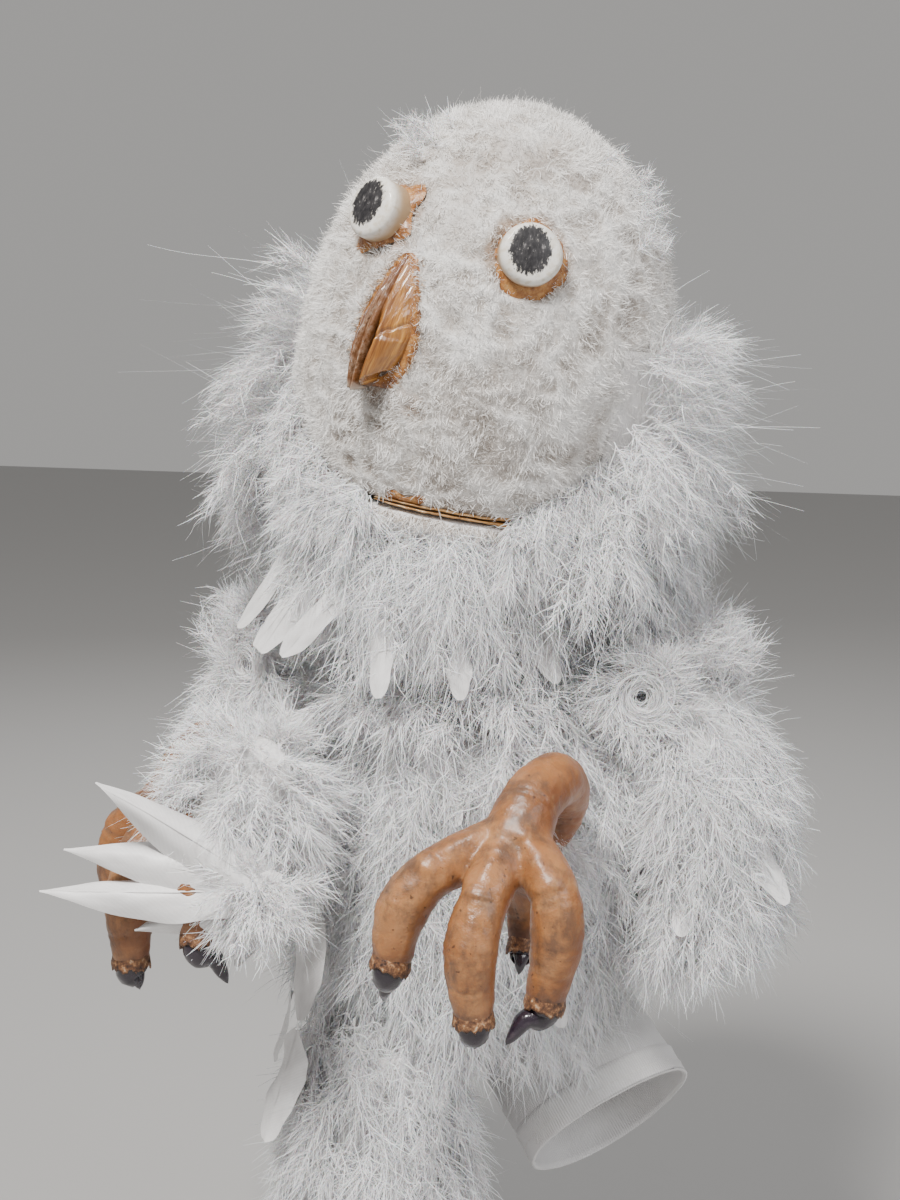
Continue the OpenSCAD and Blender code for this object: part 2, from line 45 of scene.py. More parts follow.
# Places from the CAD model, in millimetres.
HEAD = np.array([-61.0, -10.0, 428.0])
LEAN = math.radians(11)
RX, RY, CROWN, MOUTH_Z, WIDEST_Z = 91.0, 97.0, 92.0, -100.0, -30.0
BODY_MID = np.array([-80.0, -6.0])
LEG_LEFT = np.array([-8.0, -70.0, 168.0])
TAIL = np.array([-97.0, -76.0, 84.0])
TUFT = np.array([-144.0, -120.0, 184.0])
UP = np.array([0.0, 0.0, 1.0])
DOWN = -UP
# Fine filaments are drawn back to this box, which is a little larger than the CAD model's.
REACH = ([-259, -219, -108], [99, 132, 541])


# ---- number helpers ----


def noise(p, scale=1.0, seed=0):
    """Smooth noise from -1 to 1 at points p, whose lumps are about scale across."""
    p = np.asarray(p, float) / scale + 57.3 + seed * 17.17
    q = np.floor(p).astype(np.int64)
    f = p - q
    f = f * f * (3 - 2 * f)
    out = np.zeros(p.shape[:-1])
    for corner in range(8):
        d = np.array([corner & 1, corner >> 1 & 1, corner >> 2 & 1])
        c = q + d
        h = (c[..., 0] * 73856093 ^ c[..., 1] * 19349663 ^ c[..., 2] * 83492791) & 0xFFFFFFFF
        h = ((h ^ (h >> 13)) * 1274126177 + seed * 7919) & 0xFFFFFFFF
        v = ((h ^ (h >> 16)) & 0xFFFF) / 32767.5 - 1
        out += v * np.where(d == 1, f, 1 - f).prod(-1)
    return out


def fractal(p, scale, seed=0, octaves=3):
    return sum(noise(p, scale / 2**i, seed + i) / 2**i for i in range(octaves)) / 1.6


def vector_noise(p, scale, seed=0):
    return np.stack([noise(p, scale, seed + k) for k in range(3)], -1)


def xyz(x, y, z):
    """Points from their coordinates, which may be numbers or arrays that go together."""
    return np.stack(np.broadcast_arrays(x, y, z), -1)


def unit(v):
    return v / np.maximum(np.linalg.norm(v, axis=-1, keepdims=True), 1e-9)


def smooth(x, low, high):
    t = np.clip((x - low) / (high - low), 0, 1)
    return t * t * (3 - 2 * t)


def around(n):
    """Angles of n even steps round a circle."""
    return np.linspace(0, 2 * np.pi, n, endpoint=False)


def outward(phi):
    """The way out from an upright axis, at phi from the front towards the puppet's left."""
    return xyz(np.sin(phi), -np.cos(phi), 0)


def sidewards(phi):
    return xyz(np.cos(phi), np.sin(phi), 0)


def curve(points, n):
    """n points on a smooth curve through points, evenly in the points' own count."""
    p = np.asarray(points, float)
    t = np.linspace(0, len(p) - 1, n)
    i = np.minimum(t.astype(int), len(p) - 2)
    f = (t - i)[:, None]
    a, b = p[np.maximum(i - 1, 0)], p[i]
    c, d = p[i + 1], p[np.minimum(i + 2, len(p) - 1)]
    return b + f * ((c - a) / 2 + f * ((2 * a - 5 * b + 4 * c - d) / 2 + f * (3 * b - a - 3 * c + d) / 2))


def lengths_along(q):
    """How far along a line its points are."""
    return np.concatenate([[0], np.cumsum(np.linalg.norm(np.diff(q, axis=0), axis=1))])


def at_head(p):
    """Points in the head's own frame, in the row frame."""
    p = np.asarray(p, float)
    x = p[..., 0] * math.cos(LEAN) + p[..., 2] * math.sin(LEAN)
    z = -p[..., 0] * math.sin(LEAN) + p[..., 2] * math.cos(LEAN)
    return np.stack([x, p[..., 1], z], -1) + HEAD


def turn_to_head(v):
    return at_head(v) - HEAD


def drawn(value, shape):
    """Random values between the two numbers of a tuple, or the value itself."""
    return uniform(*value, shape) if isinstance(value, tuple) else value


def combed(phi, out, aside, rise=-1.0):
    """Ways for plumes at angles phi: outward and up by numbers or drawn from tuples, and randomly to a side."""
    shape = (len(phi), 1)
    way = outward(phi) * drawn(out, shape) + UP * drawn(rise, shape)
    return way + sidewards(phi) * (gauss(0, aside, shape) if isinstance(aside, float) else aside)


# ---- mesh helpers ----


def piece(name, verts, faces, material, body, uv=None, slot=None, replaces=()):
    me = bpy.data.meshes.new(name)
    verts = np.asarray(verts).reshape(-1, 3) * MM
    me.from_pydata(verts.tolist(), [], faces if isinstance(faces, list) else faces.tolist())
    if uv is not None:
        me.uv_layers.new(name="OFBake").data.foreach_set("uv", np.asarray(uv, np.float32).ravel())
    me.polygons.foreach_set("use_smooth", np.ones(len(me.polygons), bool))
    me.materials.append(M[material])
    me.update()
    ob = bpy.data.objects.new(name, me)
    bpy.context.collection.objects.link(ob)
    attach(ob, body)
    if replaces:
        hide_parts(*replaces)
    return ob


def attribute(ob, name, values):
    a = ob.data.attributes.new(name, "FLOAT_VECTOR", "POINT")
    a.data.foreach_set("vector", np.asarray(values, np.float32).ravel())


def grid_faces(rows, cols, closed, loop=False):
    """Quads over rows x cols points, joined round each row if closed, and last row to first if loop."""
    i = np.arange(rows if loop else rows - 1)[:, None]
    j = np.arange(cols if closed else cols - 1)[None, :]
    k, below = (j + 1) % cols, (i + 1) % rows
    f = np.stack([i * cols + j, i * cols + k, below * cols + k, below * cols + j], -1)
    return f.reshape(-1, 4)


def grid_uv(rows, cols, closed, along=1.0):
    """A map for grid_faces: u round the row, v along the rows."""
    n = cols if closed else cols - 1
    i, j = np.meshgrid(np.arange(rows - 1), np.arange(n), indexing="ij")
    u0, u1 = j / n, (j + 1) / n
    v0, v1 = i / (rows - 1) * along, (i + 1) / (rows - 1) * along
    return np.stack([u0, v0, u1, v0, u1, v1, u0, v1], -1).reshape(-1, 2)


def surface(name, p, material, body, closed=False, **more):
    """A piece over a grid of points (rows, cols, 3)."""
    return piece(name, p, grid_faces(*p.shape[:2], closed), material, body, **more)


def strips(lines, half, normals, roll, tone=None):
    """Thin ribbons along lines (n, s, 3), half widths (n, s), facing normals turned by roll (n)."""
    n, s, _ = lines.shape
    tangent = unit(np.gradient(lines, axis=1))
    side = unit(np.cross(tangent, normals[:, None, :]))
    up = np.cross(side, tangent)
    side = side * np.cos(roll)[:, None, None] + up * np.sin(roll)[:, None, None]
    verts = np.stack([lines - side * half[..., None], lines + side * half[..., None]], 2).reshape(-1, 3)
    k = np.arange(n * s * 2).reshape(n, s, 2)
    faces = np.stack([k[:, :-1, 0], k[:, :-1, 1], k[:, 1:, 1], k[:, 1:, 0]], -1).reshape(-1, 4)
    u = rng.random(n)[:, None] if tone is None else np.clip(tone, 0, 1)[:, None]
    v = np.linspace(0, 1, s)
    v0, v1 = np.broadcast_to(v[:-1], (n, s - 1)), np.broadcast_to(v[1:], (n, s - 1))
    lo, hi = np.broadcast_to(u * 0.98, v0.shape), np.broadcast_to(u * 0.98 + 0.01, v0.shape)
    uv = np.stack([lo, v0, hi, v0, hi, v1, lo, v1], -1).reshape(-1, 2)
    return verts, faces, uv


def fine_hairs(name, body, root, way, length, bend, half, roll, normals, material, slot):
    """Short hairs on the head, each bent a little its own way."""
    u = np.linspace(0, 1, len(half))[:, None]
    lines = root[:, None] + length[:, None, None] * (way[:, None] * u + gauss(0, bend, (len(root), 1, 3)) * u * u)
    v, f, uv = strips(lines, np.broadcast_to(half, lines.shape[:2]), normals, roll(len(root)))
    piece(name, at_head(v), f, material, body, uv, slot)


def merged(parts):
    """Several (verts, faces, uv) as one."""
    starts = np.cumsum([0] + [len(v) for v, _, _ in parts])
    faces = [f + n for (_, f, _), n in zip(parts, starts)]
    return np.concatenate([v for v, _, _ in parts]), np.concatenate(faces), np.concatenate([u for _, _, u in parts])


# ---- down and feathers ----


def within(p):
    """Points of fine filaments, drawn back where they reach far past the CAD model's box."""
    return p + 0.9 * (np.clip(p, *REACH) - p)


def down_lines(root, direction, normal, length, spread, barbs=22, sag=0.35, wild=0.5):
    """Ribbons of fluffy plumes: a curved quill each, with long fine soft barbs off both its sides."""
    n, steps = len(root), 5
    length, spread = length[:, None], spread[:, None]
    direction, normal = unit(direction), unit(normal)
    across = unit(np.cross(direction, normal))
    bow = gauss(0, 0.22, (n, 1))
    t = rng.random((n, barbs)) ** 0.85

    def quill(t):
        t = t[..., None]
        bent = across[:, None] * (bow[:, None] * t * t) + DOWN * (sag * t * t * 0.5) - normal[:, None] * (0.16 * t * t)
        return root[:, None] + length[..., None] * (direction[:, None] * t + bent)

    base = quill(t)
    tangent = unit(quill(t + 0.05) - base)
    lines, halves, rolls, normals = [], [], [], []
    u = np.linspace(0, 1, steps)[:, None]
    thin = 0.235 * (1 - 0.8 * np.linspace(0, 1, steps) ** 1.5)
    for side in (-1, 1):
        lean = np.radians(58 - 34 * t + gauss(0, 24, t.shape))[..., None]
        lift = gauss(0.16, 0.34 * wild + 0.12, t.shape)[..., None]
        d = unit(tangent * np.cos(lean) + side * across[:, None] * np.sin(lean) + normal[:, None] * lift)
        long = (spread * (1.25 - 0.45 * t) * (0.45 + 0.9 * rng.random(t.shape) ** 1.3))[..., None, None]
        wave = gauss(0, 0.16 + 0.14 * wild, (n, barbs, 1, 3))
        second = gauss(0, 0.07, (n, barbs, 1, 3))
        bent = tangent[:, :, None] * (0.3 * u * u) + DOWN * (sag * 0.4 * u * u) + wave * u * u
        line = base[:, :, None] + long * (d[:, :, None] * u + bent + second * np.sin(u * 5.0))
        lines.append(line.reshape(-1, steps, 3))
        halves.append(np.broadcast_to(thin, (n * barbs, steps)) * (0.7 + 0.6 * rng.random((n * barbs, 1))))
        normals.append(np.repeat(normal, barbs, 0))
        rolls.append(gauss(0, 0.6, n * barbs))
    lines.append(quill(np.broadcast_to(np.linspace(0, 0.9, steps), (n, steps))))
    halves.append(np.broadcast_to(np.linspace(0.3, 0.1, steps), (n, steps)))
    normals.append(normal)
    rolls.append(gauss(0, 0.3, n))
    return strips(within(np.concatenate(lines)), *(np.concatenate(k) for k in (halves, normals, rolls)))


def plumes(name, body, root, direction, normal, length, spread, barbs=34, **ways):
    """Down plumes in pieces small enough to export whole. Lengths and spreads may be two numbers to draw from."""
    n = len(root)
    length, spread = np.broadcast_to(drawn(length, n), n), np.broadcast_to(drawn(spread, n), n)
    for k, i in enumerate(np.array_split(np.arange(n), -(-n * barbs // 11000))):
        v, f, uv = down_lines(root[i], direction[i], normal[i], length[i], spread[i], barbs, **ways)
        piece(f"{name}_{k + 1}", v, f, "down", body, uv, "down")


def strays(name, body, root, direction, normal, length, slot="down", material="down", half=0.15):
    """Single long filaments that curl away from a mass of down."""
    n, steps = len(root), 10
    long = np.broadcast_to(drawn(length, n), n)[:, None, None]
    u = np.linspace(0, 1, steps)[None, :, None]
    d, up = unit(direction)[:, None], unit(normal)[:, None]
    across = np.cross(d, up)
    bend = across * gauss(0, 0.3, (n, 1, 1)) + up * gauss(0.05, 0.18, (n, 1, 1))
    wave = across * (gauss(0, 0.05, (n, 1, 1)) * np.sin(u * uniform(3, 8, (n, 1, 1))))
    lines = root[:, None] + long * (d * u + bend * u * u + wave)
    wide = half * (1 - 0.75 * np.linspace(0, 1, steps)[None]) * (0.7 + 0.6 * rng.random((n, 1)))
    v, f, uv = strips(within(lines), wide, normal, gauss(0, 0.5, n))
    return piece(name, v, f, material, body, uv, slot)


def on_head(root, way, normal):
    """Roots, ways and normals in the head's own frame, in the row frame."""
    return at_head(root), turn_to_head(way), turn_to_head(normal)


def flat_feather(length, width, bend=0.08, cup=0.12, curl=0.1, rows=26, cols=13, sharp=False):
    """A smooth flat feather along +X with its face to +Z: a vane on both sides of its quill."""
    s = np.linspace(0, 1, rows)
    side = np.linspace(-1, 1, cols)
    start = np.minimum(1, 0.12 + s / 0.3) ** 0.8
    if sharp:
        end = 1 - np.clip((s - 0.3) / 0.7, 0, 1) ** 1.7
    else:
        end = np.sqrt(1 - np.clip((s - 0.55) / 0.46, 0, 1) ** 2.4)
    seed = int(rng.integers(90))
    ragged = 1 + 0.16 * noise(xyz(s * 7, 0, 0), 1, seed)[:, None] * (np.abs(side) > 0.6)
    w = (width / 2 * start * np.maximum(end, 0.03))[:, None] * ragged
    x = length * s[:, None] - np.abs(side)[None] * w * 0.5 * (1 - s[:, None])
    y = bend * length * s[:, None] ** 1.6 + side[None] * w
    roll = cup * (1 + 1.5 * noise(xyz(s * 3, 0, 0), 1, seed + 3))[:, None]
    z = curl * length * s[:, None] ** 2 - roll * width * side[None] ** 2 * np.sin(np.pi * s)[:, None]
    z = z + 0.9 * noise(xyz(x / 9, y / 4, seed))
    q = xyz(length * s * 0.96, bend * length * s**1.6, curl * length * s**2 + 0.3)[None]
    quill = strips(q, 0.55 * (1.05 - s)[None], UP[None], np.zeros(1))
    quill[2][:] = [0.5, 0.02]
    return [(xyz(x, y, z).reshape(-1, 3), grid_faces(rows, cols, False), grid_uv(rows, cols, False)), quill]


def placed(parts, root, direction, face):
    """Feather parts moved so that +X runs along direction from root and +Z looks to face."""
    x = unit(np.asarray(direction, float))
    z = unit(np.asarray(face, float) - x * np.dot(face, x))
    m = np.stack([x, np.cross(z, x), z], 0)
    return [(v @ m + root, f, u) for v, f, u in parts]


def feather(root, phi, down, out, spin, length, width, bend, curl=(-0.05, 0.12)):
    """Where and how one flat feather lies, at angle phi round its body."""
    way = DOWN * down + outward(phi) * out + sidewards(phi) * spin
    return root, way, outward(phi), length, width, gauss(0, bend), uniform(*curl)


def feather_fan(name, body, entries, flip=False, replaces=()):
    """Flat feathers: root, direction, face, length, width and how they bend and curl."""
    parts = []
    for root, way, face, length, width, bend, curl in entries:
        parts += placed(flat_feather(length, width, bend, uniform(0.06, 0.26), curl), root, way, face)
    v, f, uv = merged(parts)
    return piece(name, mirrored(v, flip), f, "vane", body, uv, "quill_feather", replaces)


def mirrored(p, flip):
    return p * [-1, 1, 1] + [2 * BODY_MID[0], 0, 0] if flip else p


# ---- materials ----


class Paint:
    """A material with one Principled shader, and short ways to add its nodes."""

    def __init__(self, name, rough=0.6, colour=(0.8, 0.8, 0.8), **sockets):
        self.m = bpy.data.materials.new(name)
        self.m.use_nodes = True
        self.t = self.m.node_tree
        self.p = self.t.nodes["Principled BSDF"]
        self.p.inputs["Base Color"].default_value = (*colour, 1)
        self.p.inputs["Roughness"].default_value = rough
        for k, v in sockets.items():
            self.p.inputs[k.replace("_", " ")].default_value = v

    def node(self, kind, settings=None, **inputs):
        """A node with its settings. Inputs go by name, or by number as i0, i1 and so on."""
        n = self.t.nodes.new("ShaderNode" + kind)
        for k, v in (settings or {}).items():
            setattr(n, k, v)
        for k, v in inputs.items():
            self.put(n.inputs[int(k[1:])] if k[0] == "i" and k[1:].isdigit() else n.inputs[k], v)
        return n

    def put(self, socket, value):
        if hasattr(value, "is_linked"):
            self.t.links.new(value, socket)
        else:
            socket.default_value = value

    def coord(self, kind="Object"):
        return self.node("TexCoord").outputs[kind]

    def given(self, name):
        """A mesh attribute, and its three parts."""
        vector = self.node("Attribute", {"attribute_name": name}).outputs["Vector"]
        return vector, *self.node("SeparateXYZ", Vector=vector).outputs

    def scaled(self, vector, scale):
        return self.node("Mapping", Vector=vector, Scale=scale).outputs[0]

    def noise(self, vector, scale, detail=3.0, rough=0.55, distortion=0.0, stretch=None):
        vector = self.scaled(vector, stretch) if stretch else vector
        return self.node("TexNoise", Vector=vector, Scale=scale, Detail=detail, Roughness=rough,
                         Distortion=distortion).outputs["Fac"]

    def wave(self, vector, scale, bands="X", distortion=0.0, detail=2.0):
        return self.node("TexWave", {"bands_direction": bands}, Vector=vector, Scale=scale, Distortion=distortion,
                         Detail=detail).outputs["Fac"]

    def ramp(self, value, *stops):
        n = self.node("ValToRGB", Fac=value)
        e = n.color_ramp.elements
        while len(e) < len(stops):
            e.new(0.5)
        for k, (place, *colour) in enumerate(stops):
            e[k].position = place
            e[k].color = (*(colour * (3 // len(colour))), 1)
        return n.outputs[0]

    def maths(self, operation, a, b=0.0, clamp=False):
        return self.node("Math", {"operation": operation, "use_clamp": clamp}, i0=a, i1=b).outputs[0]

    def add(self, a, b):
        return self.maths("ADD", a, b)

    def less(self, a, b):
        return self.maths("SUBTRACT", a, b)

    def times(self, a, b, clamp=False):
        return self.maths("MULTIPLY", a, b, clamp)

    def step(self, value, low, high, at_low=0.0, at_high=1.0, kind="SMOOTHSTEP"):
        return self.node("MapRange", {"interpolation_type": kind}, Value=value, i1=low, i2=high, i3=at_low,
                         i4=at_high).outputs[0]

    def line(self, value, low, high):
        return self.step(value, low, high, kind="LINEAR")

    def mix(self, factor, a, b, blend="MIX"):
        a, b = (v if hasattr(v, "is_linked") else (*v, 1) for v in (a, b))
        return self.node("MixRGB", {"blend_type": blend}, Fac=factor, i1=a, i2=b).outputs[0]

    def colour(self, value):
        self.put(self.p.inputs["Base Color"], value)

    def bump(self, height, strength=0.3, distance=0.001):
        n = self.node("Bump", Height=height, Strength=strength, Distance=distance)
        self.put(self.p.inputs["Normal"], n.outputs[0])


# Materials whose colour follows noise: key, name, roughness, coordinates and their stretch, scale, detail and
# roughness of the noise, stops of the colour ramp, bump's scale, detail, strength and distance, and more sockets.
GRAINED = (
    ("down", "down", 0.7, "UV", (9, 1.5, 1), 1.0, 2, 0.55,
     ((0.3, 0.84, 0.825, 0.83), (0.5, 0.91, 0.905, 0.915), (0.75, 0.95, 0.948, 0.955)), None,
     dict(Sheen_Weight=0.4, Sheen_Roughness=0.5, Subsurface_Weight=0.15, Subsurface_Scale=0.002)),
    ("core", "down_core", 0.9, "Object", (1, 1, 0.35), 90, 4, 0.6,
     ((0.3, 0.66, 0.63, 0.62), (0.5, 0.8, 0.785, 0.78), (0.7, 0.88, 0.875, 0.88)), (260, 3, 0.8, 0.003),
     dict(Sheen_Weight=0.3)),
    ("thread", "thread", 0.6, "UV", (20, 1, 1), 1, 1, 0.55,
     ((0.3, 0.72, 0.69, 0.66), (0.7, 0.9, 0.89, 0.88)), None, dict(Sheen_Weight=0.3)),
    ("glue", "old_glue", 0.35, "Object", None, 230, 4, 0.65,
     ((0.3, 0.1, 0.03, 0.008), (0.5, 0.33, 0.13, 0.03), (0.72, 0.56, 0.3, 0.1)), (500, 3, 0.6, 0.0015),
     dict(Coat_Weight=0.35, Coat_Roughness=0.25)),
    ("lip", "lip_edge", 0.5, "Object", (1, 1, 2), 150, 4, 0.7,
     ((0.3, 0.2, 0.08, 0.02), (0.5, 0.46, 0.24, 0.08), (0.7, 0.72, 0.52, 0.3)), (600, 3, 0.5, 0.001),
     dict(Coat_Weight=0.2)),
    ("glue_fibre", "glued_fibre", 0.6, "UV", (16, 1, 1), 1, 1, 0.55,
     ((0.35, 0.3, 0.15, 0.06), (0.6, 0.62, 0.48, 0.34)), None, {}),
    ("board", "board", 0.8, "Object", (1, 1, 4), 60, 5, 0.65,
     ((0.3, 0.24, 0.16, 0.09), (0.6, 0.42, 0.31, 0.19), (0.8, 0.5, 0.39, 0.26)), (300, 3, 0.3, 0.0008), {}),
    ("steel", "wire_steel", 0.4, "Object", None, 200, 3, 0.55,
     ((0.3, 0.35, 0.34, 0.33), (0.7, 0.6, 0.6, 0.6)), None, dict(Metallic=1.0)),
    ("rim", "claw_rim", 0.5, "Object", None, 330, 4, 0.7,
     ((0.34, 0.035, 0.018, 0.014), (0.5, 0.17, 0.075, 0.035), (0.6, 0.36, 0.18, 0.08), (0.7, 0.62, 0.5, 0.36)),
     (700, 3, 0.6, 0.001), {}),
    ("claw", "claw_paint", 0.22, "Object", None, 160, 4, 0.6,
     ((0.3, 0.012, 0.008, 0.013), (0.6, 0.028, 0.018, 0.03), (0.8, 0.07, 0.045, 0.06)), (380, 3, 0.35, 0.0012),
     dict(Coat_Weight=0.6, Coat_Roughness=0.12)),
)


def grained_materials():
    for key, name, rough, coord, stretch, scale, detail, grain, stops, bump, sockets in GRAINED:
        m = Paint(name, rough, **sockets)
        p = m.coord(coord)
        m.colour(m.ramp(m.noise(p, scale, detail, grain, stretch=stretch), *stops))
        if bump:
            m.bump(m.noise(p, *bump[:2], stretch=(1, 1, 0.3) if key == "core" else None), *bump[2:])
        yield key, m


def vane_material():
    m = Paint("quill_feather", 0.42, Sheen_Weight=0.25, Specular_IOR_Level=0.45)
    uv = m.coord("UV")
    fine = m.wave(m.scaled(uv, (0.8, 3.2, 1)), 7.0, "DIAGONAL", 1.2)
    base = m.ramp(m.noise(uv, 2.5, 3, stretch=(1.5, 3, 1)), (0.3, 0.8, 0.785, 0.785), (0.6, 0.9, 0.895, 0.895))
    m.colour(m.mix(0.12, base, m.ramp(fine, (0.2, 0.62), (0.8, 0.95)), "MULTIPLY"))
    return m


def fleece_material():
    """Pale lumps with darker hollows, partly the brownish backing and partly painted shade, worn places and stains, as
    make_fleece marks them.
    """
    m = Paint("fleece", 0.92, Sheen_Weight=0.3, Sheen_Roughness=0.6)
    p = m.coord()
    _, height, worn, stain = m.given("shade_wear_stain")
    fine = m.noise(p, 260, 5, 0.75)
    # Lump height plus fine noise: low places get the darker colours, partly backing showing and partly painted shade
    # in the hollows.
    hollow_shade_and_tone = m.add(height, m.times(m.less(fine, 0.5), 1.1))
    base = m.ramp(hollow_shade_and_tone, (0.1, 0.38, 0.325, 0.28), (0.35, 0.62, 0.57, 0.52), (0.6, 0.83, 0.805, 0.775),
                  (0.85, 0.93, 0.92, 0.905))
    grey = m.ramp(fine, (0.3, 0.2, 0.155, 0.125), (0.7, 0.56, 0.5, 0.45))
    base = m.mix(m.times(worn, 0.75, True), base, grey)
    m.colour(m.mix(stain, base, (0.34, 0.17, 0.07)))
    m.bump(m.noise(p, 480, 5, 0.75), 0.8, 0.002)
    return m


def pile_material():
    m = Paint("fleece_pile", 0.8, Sheen_Weight=0.4)
    tone = m.node("SeparateXYZ", Vector=m.coord("UV")).outputs[0]
    m.colour(m.ramp(tone, (0.0, 0.3, 0.22, 0.16), (0.25, 0.52, 0.46, 0.41), (0.55, 0.8, 0.77, 0.735),
                    (0.9, 0.94, 0.93, 0.915)))
    return m


def eye_material():
    """White paint, dirty low on the knob, with a brushed oval pupil; places come from make_eye."""
    m = Paint("eye_paint", 0.45, Coat_Weight=0.15)
    k, x, y, h = m.given("knob")
    streak = m.noise(k, 1.1, 5, 0.65, stretch=(1.0, 0.45, 0.4))
    fine = m.noise(k, 1.1, 3, 0.6, stretch=(1.3, 0.35, 1))
    dx, dy = m.maths("DIVIDE", m.add(x, 1.3), 9.7), m.maths("DIVIDE", m.less(y, 1.2), 11.3)
    d = m.maths("SQRT", m.add(m.times(dx, dx), m.times(dy, dy)))
    d = m.add(d, m.times(m.less(streak, 0.5), 0.8))
    pupil = m.times(m.step(d, 0.93, 1.02, 1.0, 0.0), m.ramp(fine, (0.27, 0.45), (0.36, 1.0)))
    pupil = m.times(pupil, m.line(h, 17.0, 17.8))
    white = m.ramp(m.noise(k, 0.35, 4), (0.35, 0.66, 0.6, 0.5), (0.5, 0.8, 0.77, 0.71), (0.7, 0.84, 0.82, 0.78))
    white = m.mix(m.step(h, 10.5, 18.6), (0.44, 0.3, 0.17), white)
    black = m.ramp(m.noise(k, 0.42, 4, 0.6, stretch=(1.4, 0.7, 1)), (0.4, 0.01, 0.009, 0.011),
                   (0.6, 0.035, 0.033, 0.035), (0.72, 0.2, 0.19, 0.19))
    m.colour(m.mix(pupil, white, black))
    m.bump(m.noise(k, 1.2, 4, stretch=(1, 0.4, 1)), 0.25, 0.0006)
    return m


def beak_material():
    """Amber varnish over carved grain; c runs across the beak from its far edge and t down it."""
    m = Paint("beak_varnish", 0.2, Coat_Weight=1.0, Coat_Roughness=0.05)
    k, c, t, _ = m.given("carved")
    grain = m.noise(k, 1.0, 5, 0.65, 0.6, stretch=(16, 2.2, 1))
    amber = m.ramp(grain, (0.28, 0.1, 0.03, 0.006), (0.42, 0.3, 0.11, 0.018), (0.58, 0.5, 0.225, 0.042),
                   (0.8, 0.68, 0.4, 0.13))
    red = m.ramp(grain, (0.3, 0.07, 0.016, 0.005), (0.55, 0.2, 0.06, 0.018), (0.8, 0.34, 0.15, 0.06))
    # Ridge colour: dark grain with pale flecks, which are painted highlights of the glossy varnish.
    ridge = m.ramp(m.noise(k, 1.0, 5, 0.75, stretch=(22, 26, 1)), (0.35, 0.05, 0.022, 0.01),
                   (0.5, 0.24, 0.13, 0.07), (0.68, 0.46, 0.36, 0.27))
    flank = m.step(c, -0.1, 0.06)
    shade = m.mix(m.step(c, -0.62, -0.44), red, ridge)
    shade = m.mix(m.times(m.line(t, 0.35, 0.1), 0.75), shade, red)
    shade = m.mix(flank, shade, amber)
    # Near-black along the groove in the lower half of the beak: painted shade in the groove.
    groove_shade = m.maths("MAXIMUM", m.step(m.maths("ABSOLUTE", m.add(c, 0.02)), 0.015, 0.09), m.line(t, 0.6, 0.35))
    shade = m.mix(groove_shade, (0.04, 0.012, 0.005), shade)
    shade = m.mix(m.step(m.maths("ABSOLUTE", c), 0.85, 1.0, 0.0, 0.8), shade, (0.16, 0.06, 0.02))
    shade = m.mix(m.times(m.line(t, 0.93, 1.0), m.less(1.0, flank)), shade, (0.5, 0.42, 0.34))
    blotch = m.ramp(m.noise(k, 1.0, 3, stretch=(3, 4, 1)), (0.42, 0.0), (0.6, 0.62))
    m.colour(m.mix(blotch, shade, (0.2, 0.07, 0.018)))
    m.bump(m.noise(k, 1.0, 5, 0.7, stretch=(30, 12, 1)), 0.35, 0.0012)
    return m


def knit_material(name, scale, dark, light):
    m = Paint(name, 0.85, Sheen_Weight=0.2)
    rib = m.wave(m.scaled(m.coord("UV"), (1, 0.03, 1)), 66.0, distortion=0.5, detail=1.0)
    blotch = m.ramp(m.noise(m.coord(), scale, 3), dark, light)
    m.colour(m.mix(0.3, blotch, m.ramp(rib, (0.1, 0.72), (0.6, 1.0)), "MULTIPLY"))
    m.bump(rib, 0.5, 0.0006)
    return m


def cotton_material():
    m = Paint("cotton", 0.9, Sheen_Weight=0.2)
    p = m.coord()
    weave = m.times(m.wave(p, 420.0), m.wave(p, 420.0, "Z"))
    blotch = m.ramp(m.noise(p, 40, 3), (0.3, 0.6, 0.59, 0.58), (0.7, 0.76, 0.755, 0.75))
    m.colour(m.mix(0.3, blotch, m.ramp(weave, (0.0, 0.7), (0.6, 1.0)), "MULTIPLY"))
    m.bump(weave, 0.4, 0.0005)
    return m


def latex_material():
    """Waxy brown latex with painted shade on faces turned down and back, painted highlight patches, smudges, dots and
    dark toe ends; places come from make_foot.
    """
    m = Paint("latex", 0.42, Coat_Weight=0.25, Coat_Roughness=0.3, Subsurface_Weight=0.12, Subsurface_Scale=0.003,
              Specular_IOR_Level=0.45)
    p = m.coord()
    _, top, _, toe_end = m.given("grow")
    base = m.ramp(m.noise(p, 38, 4, 0.6), (0.3, 0.2, 0.07, 0.022), (0.5, 0.36, 0.15, 0.052),
                  (0.7, 0.45, 0.215, 0.088))
    # Darker on faces turned down and back: painted shade.
    base = m.mix(m.times(m.less(1.0, top), 0.55), base, (0.2, 0.055, 0.015))
    smudge = m.ramp(m.noise(p, 62, 5, 0.7, stretch=(1, 1, 0.6)), (0.44, 0.0), (0.6, 1.0))
    base = m.mix(m.times(smudge, m.times(top, 0.78)), base, (0.1, 0.055, 0.035))
    base = m.mix(m.ramp(m.noise(p, 420, 2, 0.4), (0.7, 0.0), (0.74, 0.75)), base, (0.05, 0.02, 0.012))
    near = m.step(m.add(toe_end, m.times(m.noise(p, 160, 3), 6.0)), 14.0, 9.0)
    base = m.mix(m.times(near, 0.75), base, (0.07, 0.03, 0.022))
    # Pale patches: painted highlights of the waxy latex.
    painted_highlight = m.ramp(m.noise(p, 130, 3, 0.5), (0.6, 0.0), (0.75, 0.45))
    m.colour(m.mix(m.times(painted_highlight, 0.8), base, (0.56, 0.31, 0.14)))
    m.put(m.p.inputs["Roughness"], m.ramp(m.noise(p, 90, 3), (0.35, 0.3), (0.7, 0.55)))
    m.bump(m.mix(0.5, m.noise(p, 300, 4, 0.6), m.noise(p, 900, 2)), 0.35, 0.0014)
    return m


